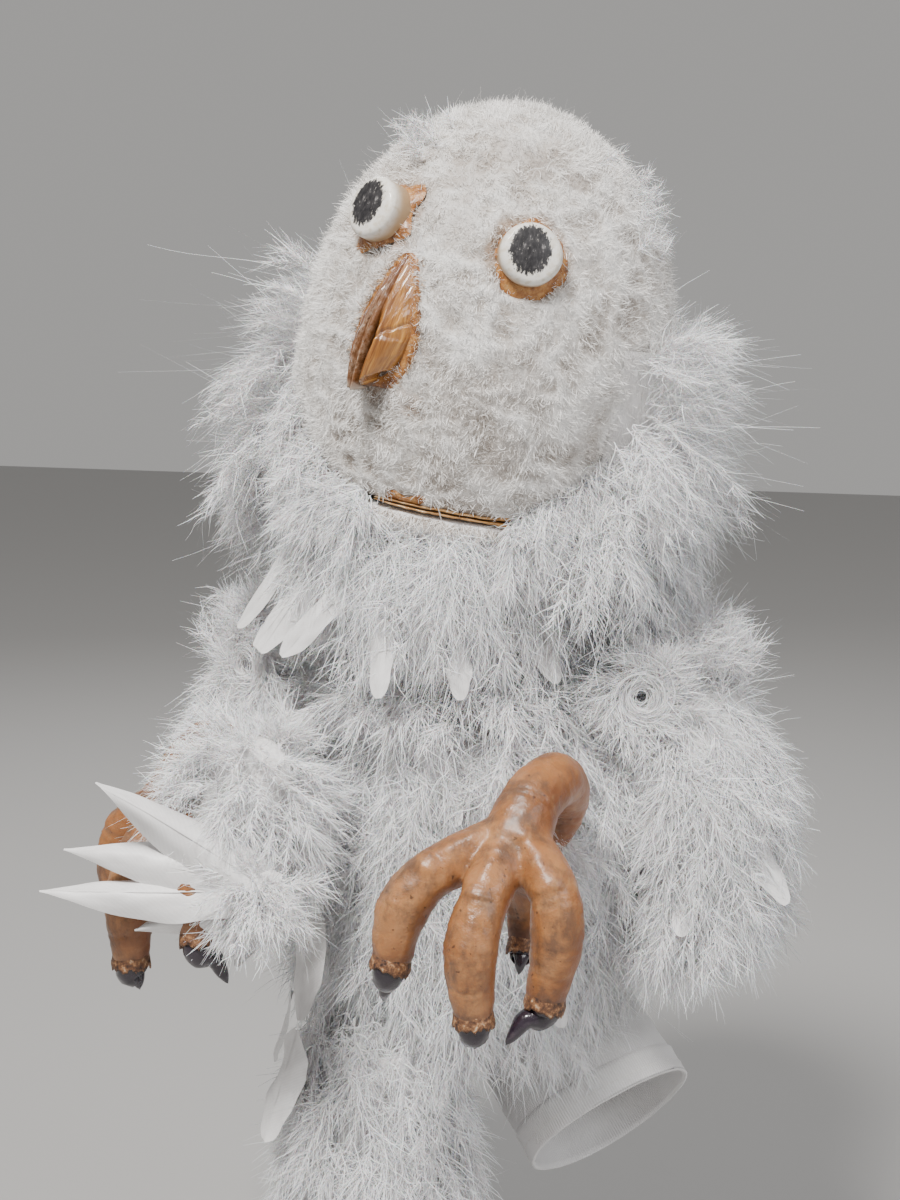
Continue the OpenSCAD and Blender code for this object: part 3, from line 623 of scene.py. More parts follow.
M = {key: paint.m for key, paint in grained_materials()}
M.update(vane=vane_material().m, fleece=fleece_material().m, pile=pile_material().m, eye=eye_material().m,
         beak=beak_material().m, cotton=cotton_material().m, latex=latex_material().m,
         jersey=knit_material("jersey", 30, (0.3, 0.76, 0.75, 0.75), (0.7, 0.86, 0.855, 0.86)).m,
         jersey_hem=knit_material("jersey_hem", 40, (0.3, 0.78, 0.77, 0.77), (0.7, 0.88, 0.875, 0.88)).m)


# ---- head ----

# Up to this share of the way from mouth line to crown the head is nearly upright; above it is a dome.
UPRIGHT = 0.36
# Each eye: turn from straight ahead, height, and how far it stands out.
EYES = {"left": (31.5, 23.0, 10.0), "right": (-22.0, 30.0, 12.0)}
# Worn places of the fleece: turn, height, radius in mm and strength.
WORN = ((32, 64, 15, 1.0), (48, 60, 11, 1.0), (17, 68, 13, 0.6), (-10, 39, 17, 0.5), (5, 33, 17, 0.4),
        (34, -31, 20, 0.55), (21, -45, 20, 0.6), (35, -69, 14, 0.7), (52, 26, 12, 0.4), (37, 0, 18, 0.25),
        (12, -4, 12, 0.5), (7, -24, 12, 0.6), (-40, -50, 12, 0.5), (18, -84, 14, 0.5), (60, -60, 14, 0.5),
        (5, 60, 20, 0.4))
# Stains of old glue: turn, height, stretch, wobble and noise of the edge, strength, and where the edge fades.
STAINS = ((*EYES["left"][:2], (1, 1, 1), 2.5, 63, 0.5, 17, 23),
          (*EYES["right"][:2], (1, 1, 1), 2.5, 63, 0.5, 17, 23),
          (-8, -18, (1, 0.5, 0.42), 2, 64, 0.45, 11, 17), (3, -52, (0.6, 0.5, 1), 2, 65, 0.3, 3, 8))
# The glue round each eye: its radius, and how far, where and how widely it spreads further.
EYE_GLUE = {"left": (15.3, (5.6, -0.15, 0.8), (4.2, -1.7, 0.7), (3.4, 1.5, 0.35)),
            "right": (14.9, (7.2, 0.75, 0.35), (5.0, -0.35, 0.4), (5.5, -2.0, 0.45))}


def share(z):
    """Share of the head's full width at height z in the head's own frame."""
    z = np.asarray(z, float)
    up = np.sqrt(np.clip(1 - ((z - WIDEST_Z) / (CROWN - WIDEST_Z)) ** 2, 0, None))
    low = 1 - 0.13 * np.clip((z - WIDEST_Z) / (MOUTH_Z - WIDEST_Z), 0, None) ** 2.2
    return np.where(z >= WIDEST_Z, up, low)


def head_ring(turn, s, z, out=0.0):
    """Points round the head at share s of its full width, turned from straight ahead by radians."""
    return xyz((RX * s + out) * np.sin(turn), -(RY * s + out) * np.cos(turn), z)


def head_point(turn, v):
    """The head's face and the ways out: turn in degrees, v from 0 at the mouth line to 1 at the crown."""
    turn, v = np.broadcast_arrays(np.radians(turn), v)
    low = v < UPRIGHT
    a = np.clip((v - UPRIGHT) / (1 - UPRIGHT), 0, 1) * np.pi / 2
    start = MOUTH_Z + 3
    z = np.where(low, start + (WIDEST_Z - start) * v / UPRIGHT, WIDEST_Z + (CROWN - WIDEST_Z) * np.sin(a))
    p = head_ring(turn, np.where(low, share(z), np.cos(a)), z)
    steep = np.where(low, 1e-5 * (z - WIDEST_Z), (z - WIDEST_Z) / (CROWN - WIDEST_Z) ** 2)
    return p, unit(xyz(p[..., 0] / RX**2, p[..., 1] / RY**2, steep))


def on_face(turn, z, out=0.0):
    return head_ring(math.radians(turn), share(z), z, out)


def away(p, turn, z, stretch=(1, 1, 1)):
    """How far points are from a place on the face."""
    return np.linalg.norm((p - on_face(turn, z)) * stretch, axis=-1)


def worn_share(p):
    """How worn the fleece is at points of the head, from 0 to 1."""
    w = 0.2 * smooth(fractal(p, 22, 61), 0.0, 0.6)
    for turn, rise, radius, strength in WORN:
        w = np.maximum(w, strength * (1 - smooth(away(p, turn, rise) + 5 * noise(p, 7, 62), radius * 0.45, radius)))
    return w


def fleece_height(p):
    """How far the worn fleece stands proud at points of the head."""
    lumps = 1 - 2.2 * np.abs(noise(p, 10.5, 5))
    h = 0.9 * noise(p, 26, 3) + (1.3 * lumps + 0.7 * fractal(p, 4.2, 9, 2)) * (1 - 0.45 * worn_share(p))
    for turn, rise, _ in EYES.values():
        h -= 2.2 * (1 - smooth(away(p, turn, rise), 15, 24))
    h -= 1.6 * (1 - smooth(away(p, -8, -18, (1, 0.4, 0.45)), 11, 19))
    return h


def make_fleece():
    p, n = head_point(np.linspace(0, 360, 380, endpoint=False)[None], np.linspace(0, 1, 215)[:, None])
    h = fleece_height(p) - 0.6
    stain = 0
    for turn, rise, stretch, wobble, seed, strength, low, high in STAINS:
        d = away(p, turn, rise, stretch) + wobble * noise(p, 4, seed)
        stain = np.maximum(stain, strength * (1 - smooth(d, low, high)))
    # First part: lump height, which darkens the hollows in the fleece colour, partly as backing and partly as painted
    # shade; then wear and stains.
    shade_wear_stain = xyz(np.clip(0.55 + 0.24 * h, 0, 1), worn_share(p), stain)
    p = p + n * h[..., None]
    under = [p[0] * [k, k, 1] + [0, 0, drop] for k, drop in ((0.84, 0), (0.9, -2), (0.97, -2.5))]
    ob = surface("fleece_cover", at_head(np.concatenate([under, p])), "fleece", "head", True, slot="fleece",
                 replaces=["head_cover"])
    attribute(ob, "shade_wear_stain", np.concatenate([np.repeat(shade_wear_stain[:1], 3, 0), shade_wear_stain]))
    return ob


def make_pile():
    """The fleece's own fibres: short curled ones drawn together in tufts, and a few long loose ones."""
    fibres, tufts, loose = 165000, 5200, 2600
    count = fibres + tufts
    v = rng.random(count) ** 0.9
    turn = rng.random(count) * 360
    round_top = np.cos((v - UPRIGHT) / (1 - UPRIGHT) * np.pi / 2) + 0.02
    keep = rng.random(count) < np.where(v < UPRIGHT, 1, round_top)
    p, nor = head_point(turn[keep], v[keep])
    flow = vector_noise(p, 12, 21) + vector_noise(p, 4, 27) * 0.5 + [0, 0, -0.2]
    flow -= nor * (flow * nor).sum(-1, keepdims=True)
    tips = p[:tufts] + nor[:tufts] * (1.5 + 1.5 * noise(p[:tufts], 9, 24))[:, None] + flow[:tufts] * 3.6
    tree = KDTree(tufts)
    for k in range(tufts):
        tree.insert(p[k], k)
    tree.balance()
    p, nor, flow = p[tufts:], nor[tufts:], flow[tufts:]
    near = np.array([tree.find(q)[1] for q in p])
    worn, h = worn_share(p), fleece_height(p)
    root = p + nor * (h - 1.2)[:, None]
    to = tips[near] + nor * (h * 0.6)[:, None] - root
    long = np.linalg.norm(to, axis=-1, keepdims=True)
    d = unit(to * 0.75 + unit(flow + nor * 0.6) * long * 0.5 + gauss(0, 0.38, p.shape) * long)
    length = np.minimum(long[:, 0], 4.6) * (0.65 + 0.5 * rng.random(len(p))) * (1 - 0.5 * worn)
    bend = gauss(0, 0.28, (len(p), 1, 3))
    u = np.array([0, 0.5, 1.0])[None, :, None]
    lines = root[:, None] + length[:, None, None] * (d[:, None] * u + bend * u * u)
    half = np.array([0.13, 0.12, 0.05])[None] * (0.8 + 0.6 * rng.random((len(p), 1)))
    # The 0.06 * h term darkens fibres in the fleece's hollows as painted shade; the worn term is real wear.
    tone = np.clip(0.86 + 0.06 * h - 0.5 * worn + gauss(0, 0.11, len(p)), 0.03, 0.97)
    verts, f, uv = strips(lines, half, nor, gauss(0, 0.6, len(p)), tone)
    made = []
    for k, part in enumerate(np.array_split(np.arange(len(p)), 4)):
        a, b = part[0], part[-1] + 1
        made.append(piece(f"fleece_pile_{k + 1}", at_head(verts[a * 6:b * 6]), f[a * 2:b * 2] - a * 6, "pile", "head",
                          uv[a * 8:b * 8], "fleece"))
    i = rng.choice(len(p), loose, replace=False)
    way = flow[i] * 1.3 + nor[i] * 0.08 + gauss(0, 0.16, (loose, 3))
    made.append(strays("fleece_fibres", "head", *on_head(root[i] + nor[i], way, nor[i]), (4, 13), "fleece", "thread",
                       0.1))
    return made


def on_fleece(p, out=0.0):
    """Points near the head moved straight out or in to the face of the fleece."""
    p = np.asarray(p, float)
    s = share(np.clip(p[..., 2], MOUTH_Z, CROWN - 1))
    q = head_ring(np.arctan2(p[..., 0] / RX, -p[..., 1] / RY), s, p[..., 2])
    steep = np.clip(q[..., 2] - WIDEST_Z, -20, None) / (CROWN - WIDEST_Z) ** 2
    n = unit(q * [1 / RX**2, 1 / RY**2, 0] + xyz(0, 0, steep))
    return q + n * np.asarray(out)[..., None]


def eye_frame(side):
    turn, rise, length = EYES[side]
    t, tip = math.radians(turn), math.radians(14)
    axis = outward(t) * math.cos(tip) + UP * math.sin(tip)
    across = sidewards(t)
    return on_face(turn, rise, 0.5), np.stack([across, np.cross(axis, across), axis]), length


def make_eye(side):
    """A turned wooden knob with an uneven painted face."""
    centre, axes, length = eye_frame(side)
    r, shoulder = 14.6, length - 4.2
    edge = [(r - 1.0, -4), (r, -2), (r, shoulder)]
    edge += [(r - 3.6 + 3.6 * math.cos(a), shoulder + 3.2 * math.sin(a)) for a in np.linspace(0.15, 1.35, 9)]
    edge += [(k, length - 1.05 + 0.9 * (1 - (k / 11.8) ** 2)) for k in (10, 8, 6, 4, 2, 0.3)]
    rr, hh = np.array(edge)[:, :1], np.array(edge)[:, 1:]
    phi = around(72)
    ring = xyz(rr * np.cos(phi), rr * np.sin(phi), hh)
    ring[..., :2] *= (1 + 0.022 * noise(xyz(np.cos(phi), np.sin(phi), length) * 1.6, 1.0, 4))[None, :, None]
    ring[..., 2] += 0.22 * noise(ring, 5, 6) * (hh > 0)
    if side == "left":
        ring[..., 1] *= 0.97
    ob = surface(f"eye_knob_{side}", at_head(centre + ring @ axes), "eye", "head", True, slot="painted_eye",
                 replaces=[f"eye_{side}"])
    attribute(ob, "knob", ring + [0, 0, 20 - length])


def make_eye_glue(side):
    """An uneven collar of old glue that lies on the fleece round the eye."""
    centre, axes, _ = eye_frame(side)
    phi, inner = around(120), 12.6
    k = np.linspace(0, 1, 9)[:, None]
    plain, *spreads = EYE_GLUE[side]
    out = plain + 1.3 * noise(xyz(np.cos(phi), np.sin(phi), 0) * 7, 1, 3)
    for far, at, wide in spreads:
        out = out + far * np.exp(-(np.angle(np.exp(1j * (phi - at))) / wide) ** 2)
    radius = inner + (np.maximum(out, inner + 0.5) - inner) * k
    p = centre + (radius * np.cos(phi))[..., None] * axes[0] + (radius * np.sin(phi))[..., None] * UP
    lift = 1.3 * np.sin(np.pi * (0.5 + 0.5 * k)) + 0.5 * noise(p, 2.2, 8) * (1 - k) - 1.2 * k + 0.35
    surface(f"eye_glue_ring_{side}", at_head(on_fleece(p, lift)), "glue", "head", True, slot="glue",
            replaces=[f"eye_glue_{side}"])


BEAK_TOP, BEAK_LEN, BEAK_WIDE, BEAK_TURN = 14.0, 62.0, 14.5, math.radians(-8)
# Across the beak from its far edge: place, how far it stands out, and extra cut in its lower half.
BEAK_ACROSS = np.array([(-1, 0, 0), (-0.9, 0.3, 0), (-0.72, 0.66, 0), (-0.55, 0.86, 0), (-0.44, 0.94, 0),
                        (-0.36, 0.90, 0.05), (-0.30, 0.84, 0.1), (-0.22, 0.93, 0.02), (-0.14, 0.97, 0),
                        (-0.07, 0.84, 0.2), (-0.01, 0.66, 0.34), (0.06, 0.80, 0.1), (0.16, 0.83, 0), (0.4, 0.68, 0),
                        (0.7, 0.42, 0), (0.9, 0.2, 0), (1, 0, 0)]).T
# Down the beak: place, and share of its full width.
BEAK_DOWN = np.array([(0, 0.2), (0.05, 0.3), (0.15, 0.48), (0.3, 0.68), (0.5, 0.92), (0.7, 1), (0.85, 0.88),
                      (1, 0.6)]).T


def beak_half(t):
    """The beak's middle and its half width at share t of its length."""
    return 1.5 + 3.5 * (1 - t) ** 2, BEAK_WIDE * np.interp(t, *BEAK_DOWN)


def make_beak():
    """A carved and varnished beak: a double ridge, a deep groove beside it, and a cracked flank."""
    t, c = np.linspace(0, 1, 90)[:, None], np.linspace(-1, 1, 84)[None]
    mid, wide = beak_half(t)
    long = 1 - 0.1 * smooth(c, -0.1, 0.35) - 0.06 * smooth(c, 0.3, 1) + 0.02 * np.exp(-((c + 0.2) / 0.2) ** 2)
    z = BEAK_TOP - BEAK_LEN * t * long
    form = np.interp(c, *BEAK_ACROSS[:2]) - np.interp(c, *BEAK_ACROSS[::2]) * smooth(t, 0.4, 0.6)
    out = (2.8 + 17.5 * t**0.85) * form
    line = 0.66 - 0.1 * c - 0.015 * noise(xyz(c * 9, 0, 0))
    out -= 1.0 * smooth(c, 0.02, 0.12) * np.exp(-((t - line) / 0.012) ** 2)
    out += 0.8 * smooth(t - 0.1 * c, 0.62, 0.66) * smooth(c, 0.05, 0.2) * (1 - smooth(c, 0.8, 1))
    grain = xyz(c * wide, t * 9, 0)
    out += (0.55 * noise(grain, 1.5, 3) + 0.3 * noise(grain, 0.8, 5)) * smooth(1 - abs(c), 0, 0.15)
    out += 0.35 * noise(xyz(c * wide, t * 60, 0), 2.5, 6) * (c < 0) * smooth(1 + c, 0, 0.2)
    x = mid + c * wide
    face = -RY * share(z) * np.sqrt(1 - (x / RX) ** 2) + 1.2
    under = [xyz(x[-1], face[-1] - out[-1] * k, z[-1] + (1 - k) * 3.0) for k in (0.75, 0.4, 0.05)]
    turn = np.stack([sidewards(BEAK_TURN), -outward(BEAK_TURN), UP])
    p = np.concatenate([xyz(x, face - out, z), under])
    faces = grid_faces(*p.shape[:2], False)[:, ::-1]
    ob = piece("beak_carved", at_head(p @ turn), faces, "beak", "head", slot="varnished_beak", replaces=["beak"])
    pattern = xyz(c, t, form)
    attribute(ob, "carved", np.concatenate([pattern, np.repeat(pattern[-1:], 3, 0) * [1, 1, 0.6]]))

    n = 260
    k = rng.random(n)
    side = rng.choice([-1.0, 1.0], n)
    mid, wide = beak_half(k)
    x = mid + side * (wide + uniform(-1, 2.5, n))
    root = on_fleece(xyz(x, -90, BEAK_TOP + 1 - BEAK_LEN * 0.96 * k) @ turn)
    way = unit(xyz(side * 0.8 + gauss(0, 0.5, n), -0.9, gauss(-0.1, 0.5, n)))
    fine_hairs("beak_fuzz", "head", root, way, 1.5 + 3 * rng.random(n), 0.3, (0.22, 0.2, 0.15, 0.06), rng.random, way,
               "glue_fibre", "glue")

    phi = around(90)
    mid, wide = beak_half(0.5 - 0.5 * np.sin(phi))
    rings = []
    for grow, lift in ((-2.5, 0.4), (0.3, 0.8), (1.6, 0.4), (2.6, -1.0)):
        g = grow + (0.8 * noise(xyz(np.cos(phi), np.sin(phi), 0) * 8, 1, 2) if grow > 0 else 0)
        x = mid + np.sign(np.cos(phi)) * (wide * np.abs(np.cos(phi)) ** 0.35 + g)
        z = BEAK_TOP - BEAK_LEN * 0.48 + np.sin(phi) * (BEAK_LEN * 0.47 + g)
        rings.append(on_fleece(xyz(x, -90, z) @ turn, lift))
    surface("beak_glue_ring", at_head(np.stack(rings)), "glue", "head", True, slot="glue", replaces=["beak_glue"])


def make_lips():
    """The mouth's edge: a thin glue-brown strip on the head and its pair on the jaw."""
    turn = np.linspace(-6, 42, 150)
    thin = np.clip(np.minimum((turn + 6) / 10, (43.5 - turn) / 2.0), 0.12, 1)
    h = 1.3 * thin * (1 + 0.35 * noise(xyz(turn, 0, 0), 2.0, 3))
    h = np.where(turn > 37.5, 2.4, h) / 2
    for name, node, body, middle in (("lip_upper", "upper_lip", "head", -99.6 + h),
                                     ("lip_lower", "lower_lip", "jaw", -100.4 - h)):
        rows = []
        for k, out in ((-1, -2.0), (-0.8, 0.6), (0, 1.3), (0.8, 0.6), (1, -2.0)):
            z = middle + k * h + 0.4 * noise(xyz(turn, 9, 0), 5, 1)
            rows.append(head_ring(np.radians(turn), 0.868, z, out))
        surface(name, at_head(np.stack(rows)), "lip", body, slot="glue", replaces=[node])
    turn = np.radians(np.linspace(-3, 16, 60))[None]
    k = np.linspace(0, 1, 8)[:, None]
    top = 2.5 + 3.2 * np.exp(-((turn - 0.02) / 0.05) ** 2) + 3.5 * np.exp(-((turn - 0.19) / 0.06) ** 2)
    z = -98.5 + k * (top + 1.2 * noise(xyz(turn * 30, 0, 0), 1, 2))
    edge = np.minimum(np.minimum(k, 1 - k) * 4, np.minimum(turn + 0.052, 0.279 - turn) * 14)
    p = head_ring(turn, share(z), z)
    p = p + unit(p * [1, 1, 0]) * (-1.4 + 1.6 * np.clip(edge, 0, 1) + 0.4 * noise(p, 1.5, 7))[..., None]
    surface("lip_stain", at_head(p), "glue", "head", slot="glue")


def make_loops():
    """Pulled threads of the knit backing that show where the pile is worn off."""
    lines, normals = [], []
    u = np.linspace(0, np.pi, 9)
    bands = ((4, 24, -2, 14, 60), (8, 30, -26, 6, 34), (52, 74, -30, 60, 80), (10, 60, 40, 62, 50),
             (20, 44, -60, -20, 46), (-30, 50, -92, -50, 40))
    for t0, t1, z0, z1, count in bands:
        for _ in range(count):
            turn, z = uniform(t0, t1), uniform(z0, z1)
            turn = t0 + (turn - t0) // 3 * 3 + gauss(0, 0.4)
            w, h = uniform(0.9, 1.8), uniform(1.2, 2.8)
            c = on_face(turn, z)
            across = w * np.cos(u) + gauss(0.5, 0.5) * np.sin(u)
            rise = h * np.sin(u) * rng.choice([1, -1])
            q = c + across[:, None] * sidewards(math.radians(turn)) + rise[:, None] * UP
            lines.append(on_fleece(q, 0.6 + 0.9 * np.sin(u) + fleece_height(q)))
            normals.append(unit(c * [1, 1, 0.2]))
    n = len(lines)
    v, f, uv = strips(np.array(lines), np.full((n, len(u)), 0.16), np.array(normals), gauss(0, 0.4, n))
    return piece("knit_threads", at_head(v), f, "thread", "head", uv, "fleece")


# ---- cloth and lumps made from the CAD solids ----


def dress(material, *nodes):
    for n in nodes:
        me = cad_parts[n].data
        me.materials.clear()
        me.materials.append(M[material])


def cloth(name, node, body, slot, edge, amount, scale, flat=None):
    """A CAD cloth solid with a fine mesh, moved into soft waves that keep its thickness."""
    bm = bmesh.new()
    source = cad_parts[node]
    bm.from_mesh(source.data)
    bm.transform(source.matrix_world)
    for _ in range(5):
        long = [e for e in bm.edges if e.calc_length() > edge * MM]
        if not long:
            break
        bmesh.ops.subdivide_edges(bm, edges=long, cuts=1)
        bmesh.ops.triangulate(bm, faces=[f for f in bm.faces if len(f.verts) > 3])
    p = np.array([v.co for v in bm.verts]) / MM
    q = p + amount * vector_noise(p, scale) + 0.3 * amount * vector_noise(p, scale / 3, 9)
    faces = [[v.index for v in f.verts] for f in bm.faces]
    bm.free()
    ob = piece(name, q, faces, "cotton", body, slot=slot, replaces=[node])
    return ob


def stuffed(name, node, body):
    """A stuffed piece blown up a little by a cloth simulation, after a slight shrink."""
    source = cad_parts[node]
    me = source.data.copy()
    me.transform(source.matrix_world)
    ob = bpy.data.objects.new(name, me)
    bpy.context.collection.objects.link(ob)
    me.materials.clear()
    me.materials.append(M["cotton"])
    centre = sum((v.co for v in me.vertices), Vector()) / len(me.vertices)
    for v in me.vertices:
        v.co = centre + (v.co - centre) * 0.93
    remesh = ob.modifiers.new("remesh", "REMESH")
    remesh.mode, remesh.voxel_size = "VOXEL", 0.004
    start = baked(ob)
    puff = ob.modifiers.new("cloth", "CLOTH")
    puff.settings.use_pressure = True
    puff.settings.uniform_pressure_force = 4.0
    puff.settings.effector_weights.gravity = 0.0
    for frame_number in range(1, 21):
        bpy.context.scene.frame_set(frame_number)
    got = ob.evaluated_get(bpy.context.evaluated_depsgraph_get()).data
    move = np.array([v.co for v in got.vertices]) - start
    far = np.linalg.norm(move, axis=1, keepdims=True)
    furthest = 3 * MM
    ob.modifiers.clear()
    ob.data.vertices.foreach_set("co", (start + move * np.minimum(1, furthest / np.maximum(far, 1e-9))).ravel())
    bpy.context.scene.frame_set(1)
    subdivide = ob.modifiers.new("subdivision", "SUBSURF")
    subdivide.levels = subdivide.render_levels = 1
    baked(ob)
    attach(ob, body)
    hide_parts(node)
    return ob


def baked(ob):
    """Puts ob's modifiers into its mesh, and gives its vertices."""
    bpy.context.view_layer.update()
    me = bpy.data.meshes.new_from_object(ob.evaluated_get(bpy.context.evaluated_depsgraph_get()))
    ob.modifiers.clear()
    ob.data = me
    me.polygons.foreach_set("use_smooth", np.ones(len(me.polygons), bool))
    return np.array([v.co for v in me.vertices])


# ---- masses of down ----

TURN = 2 * np.pi


def core(name, p, body, nodes, ends, seed, amount=3.0):
    """The dense inside of a mass of down: a lumpy, streaky surface through rings (k, n, 3)."""
    mid = p.mean(1, keepdims=True)
    out = unit((p - mid) * [1, 1, 0.2])
    lumps = fractal(p * [1, 1, 0.45], 10, seed) + 0.4 * noise(p * [1, 1, 0.3], 2.6, seed + 5)
    p = p + out * (amount * lumps)[..., None]

    def closing(k, shares):
        return [mid[k] + (p[k] - mid[k]) * s for s in shares]

    top, foot = ends
    p = np.stack(closing(0, (top * 0.2, top, 0.9)) + list(p) + closing(-1, (0.9, foot, foot * 0.2)))
    surface(name, p, "core", body, True, slot="down", replaces=nodes)


def body_ring(z, phi, grow=0.0):
    """The body's outline at height z; phi is 0 at the front and grows to the puppet's left."""
    z = np.asarray(z, float)
    above, below = np.clip(z - 180, 0, None) / 48, np.clip(180 - z, 0, None) / 90
    rise = np.clip(z - 200, 0, None)
    r = 84 * np.where(z > 180, 1 - 0.13 * above**1.6, 1 - 0.1 * below**4) + grow
    return xyz(BODY_MID[0] - rise / 7 + r * np.sin(phi), BODY_MID[1] + rise / 4 - r * np.cos(phi), z)


def make_body():
    tall = 34.5
    for k, name in enumerate(("shoulder", "chest", "belly", "hip")):
        top = 228 - tall * k
        z = np.linspace(top, top - tall, 16)[:, None]
        rings = body_ring(z, around(120), -9 + 2.5 * np.sin(np.pi * (top - z) / tall))
        core(f"{name}_core", rings, "body", [f"{name}_boa"], (0.72, 0.66), k)
        n = 300
        a = uniform(0, TURN, n)
        root = body_ring(uniform(top - 32, top + (4 if k else 0), n), a, -7)
        way = combed(a, (0.1, 0.5), gauss(0, 0.32, (n, 1)))
        plumes(f"{name}_down", "body", root, way, outward(a), (36, 58), (12, 18), wild=0.75)
        root, way, out = root[:90], way[:90], outward(a[:90])
        strays(f"{name}_filaments", "body", root, way + out * 0.5, out, (36, 64))
    n = 360
    a = np.concatenate([uniform(0, TURN, 200), uniform(-1.3, 1.3, 160)])
    root = body_ring(uniform(212, 231, n), a, uniform(-30, -8, n))
    plumes("collar_down", "body", root, combed(a, (0.3, 0.8), 0.35, 0.8), UP + outward(a) * 0.5, (34, 54), (12, 18),
           sag=0.9, wild=0.75)


def make_neck():
    for name, node, body, amount, flat in (
            ("lower", "neck_band_lower", "neck_turner", 0.12, (0.39, 0.044)),
            ("upper", "neck_band_upper", "neck_tilter", 0.12, (0.412, 0.035)),
            ("skirt", "neck_skirt", "head", 0.6, (0.434, 0.085))):
        cloth(f"neck_cloth_{name}", node, body, "jersey", 5.0, amount, 12, flat)
    n = 460
    a = uniform(0, TURN, n)
    k = rng.random(n)[:, None]
    low = [-87, 10, 262] + outward(a) * 60
    high = at_head([0, 40, -128]) + outward(a) * [62, 44, 0]
    out = (0.35 + 0.5 * np.abs(np.sin(a))[:, None]) * uniform(0.8, 1.3, (n, 1))
    plumes("mantle_down", "head", low * (1 - k) + high * k, combed(a, out, 0.3, -0.8), outward(a) + UP * 0.3, (46, 64),
           (12, 18), wild=0.7)


def side_shell(turn, z, out):
    """Points beside the head, out from the fleece."""
    return head_ring(turn, share(np.clip(z, -100, 80)), z, out)


def make_ruff():
    turn = np.radians(np.linspace(68, 292, 110))
    z = np.linspace(-112, -12, 30)[:, None]
    full = np.interp(z, [-112, -104, -80, -50, -25, -12], [0.3, 0.75, 0.9, 0.6, 0.22, 0.0])
    edge = np.sin(np.clip((turn - turn[0]) / (turn[-1] - turn[0]), 0, 1) * np.pi) ** 0.7
    thick = 21 * full * share(np.clip(z, -100, 80)) * edge
    p = side_shell(turn, z, 0.5 + thick)
    p = p + unit(p * [1, 1, 0]) * (3.0 * fractal(p * [1, 1, 0.45], 10, 2) * np.minimum(thick / 6, 1))[..., None]
    inner = side_shell(turn, z, 0.3)
    surface("ruff_core", at_head(np.concatenate([inner[:1], p, inner[-1:]])), "core", "head", slot="down",
            replaces=["head_ruff"])
    for name, n, low, high, turns, far, rise, sag, long in (
            ("low", 330, -114, -78, (60, 300), 14, -0.75, 0.35, (32, 50)),
            ("middle", 250, -84, -44, (64, 296), 13, -0.3, 0.4, (30, 46)),
            ("top", 210, -50, -6, (74, 286), 6, 0.35, 0.35, (24, 40))):
        a = np.radians(uniform(*turns, n))
        z = uniform(low, high, n)
        root = side_shell(a, z, far * np.interp(z, [-112, -104, -80, -50, -25, 0], [0.3, 0.75, 1, 0.8, 0.4, 0.0]))
        way = combed(a, (0.55, 1.0), 0.3, (rise - 0.25, rise + 0.25))
        plumes(f"ruff_{name}", "head", *on_head(root, way, outward(a) * 0.6 + UP * 0.5), long, (10, 16), 37, sag=sag,
               wild=0.7)
    n = 420
    a = np.radians(uniform(66, 294, n))
    root = side_shell(a, uniform(-105, -10, n), 10)
    strays("ruff_filaments", "head", *on_head(root, combed(a, 1.0, 0.4, (-0.5, 0.9)), outward(a)), (34, 66))
    for side, turns, edge_turn, edge_z, n in (
            ("left", (43, 90), (41, 55, 70, 82, 92), (-99, -80, -60, -46, -28), 210),
            ("right", (-78, -7), (-78, -45, -38, -22, -7), (-40, -58, -74, -90, -98), 150)):
        a = uniform(*turns, n)
        top = np.interp(a, edge_turn, edge_z)
        z = top + (-100.5 - top) * rng.random(n) ** 0.9
        a = np.radians(a)
        way = combed(a, (0.25, 0.6), 0.3, -uniform(0.5, 1.0, (n, 1))) + sidewards(a) * np.sign(a)[:, None] * 0.25
        plumes(f"cheek_{side}", "head", *on_head(side_shell(a, z, -0.5), way, outward(a)), (20, 34), (8, 12), 36,
               wild=0.7)
    a = np.radians(np.concatenate([uniform(-40, -16, 12), uniform(60, 100, 18)]))
    z = np.concatenate([uniform(56, 74, 12), uniform(30, 72, 18)])
    way = combed(a, 0.5, np.where(a > 0, 0.7, -0.2)[:, None], 0.7) + gauss(0, 0.2, (len(a), 3))
    plumes("crown_wisps", "head", *on_head(side_shell(a, z, 0.5), way, outward(a)), (9, 18), (4, 8), 18, wild=1.0)
    n = 70
    a = np.radians(uniform(-120, 120, n))
    root = side_shell(a, uniform(-40, 78, n), 1.0)
    way = combed(a, 0.5, 0.8, 0.0) + UP * 0.4 * gauss(1, 1, (n, 1))
    strays("head_filaments", "head", *on_head(root, way, outward(a)), (8, 22), half=0.1)


# Down the chin: height, and how far it reaches to the side and to the front.
CHIN = ((-102.6, 70, 76), (-102.8, 77.5, 82.5), (-104, 79, 84), (-107, 79, 85), (-111, 77, 84), (-116, 72, 80),
        (-121, 63, 72), (-123.5, 50, 58), (-124, 25, 28), (-124, 3, 4))


def chin_ring(a, wide, deep, z):
    return xyz(wide * np.sin(a), -deep * np.cos(a), z)


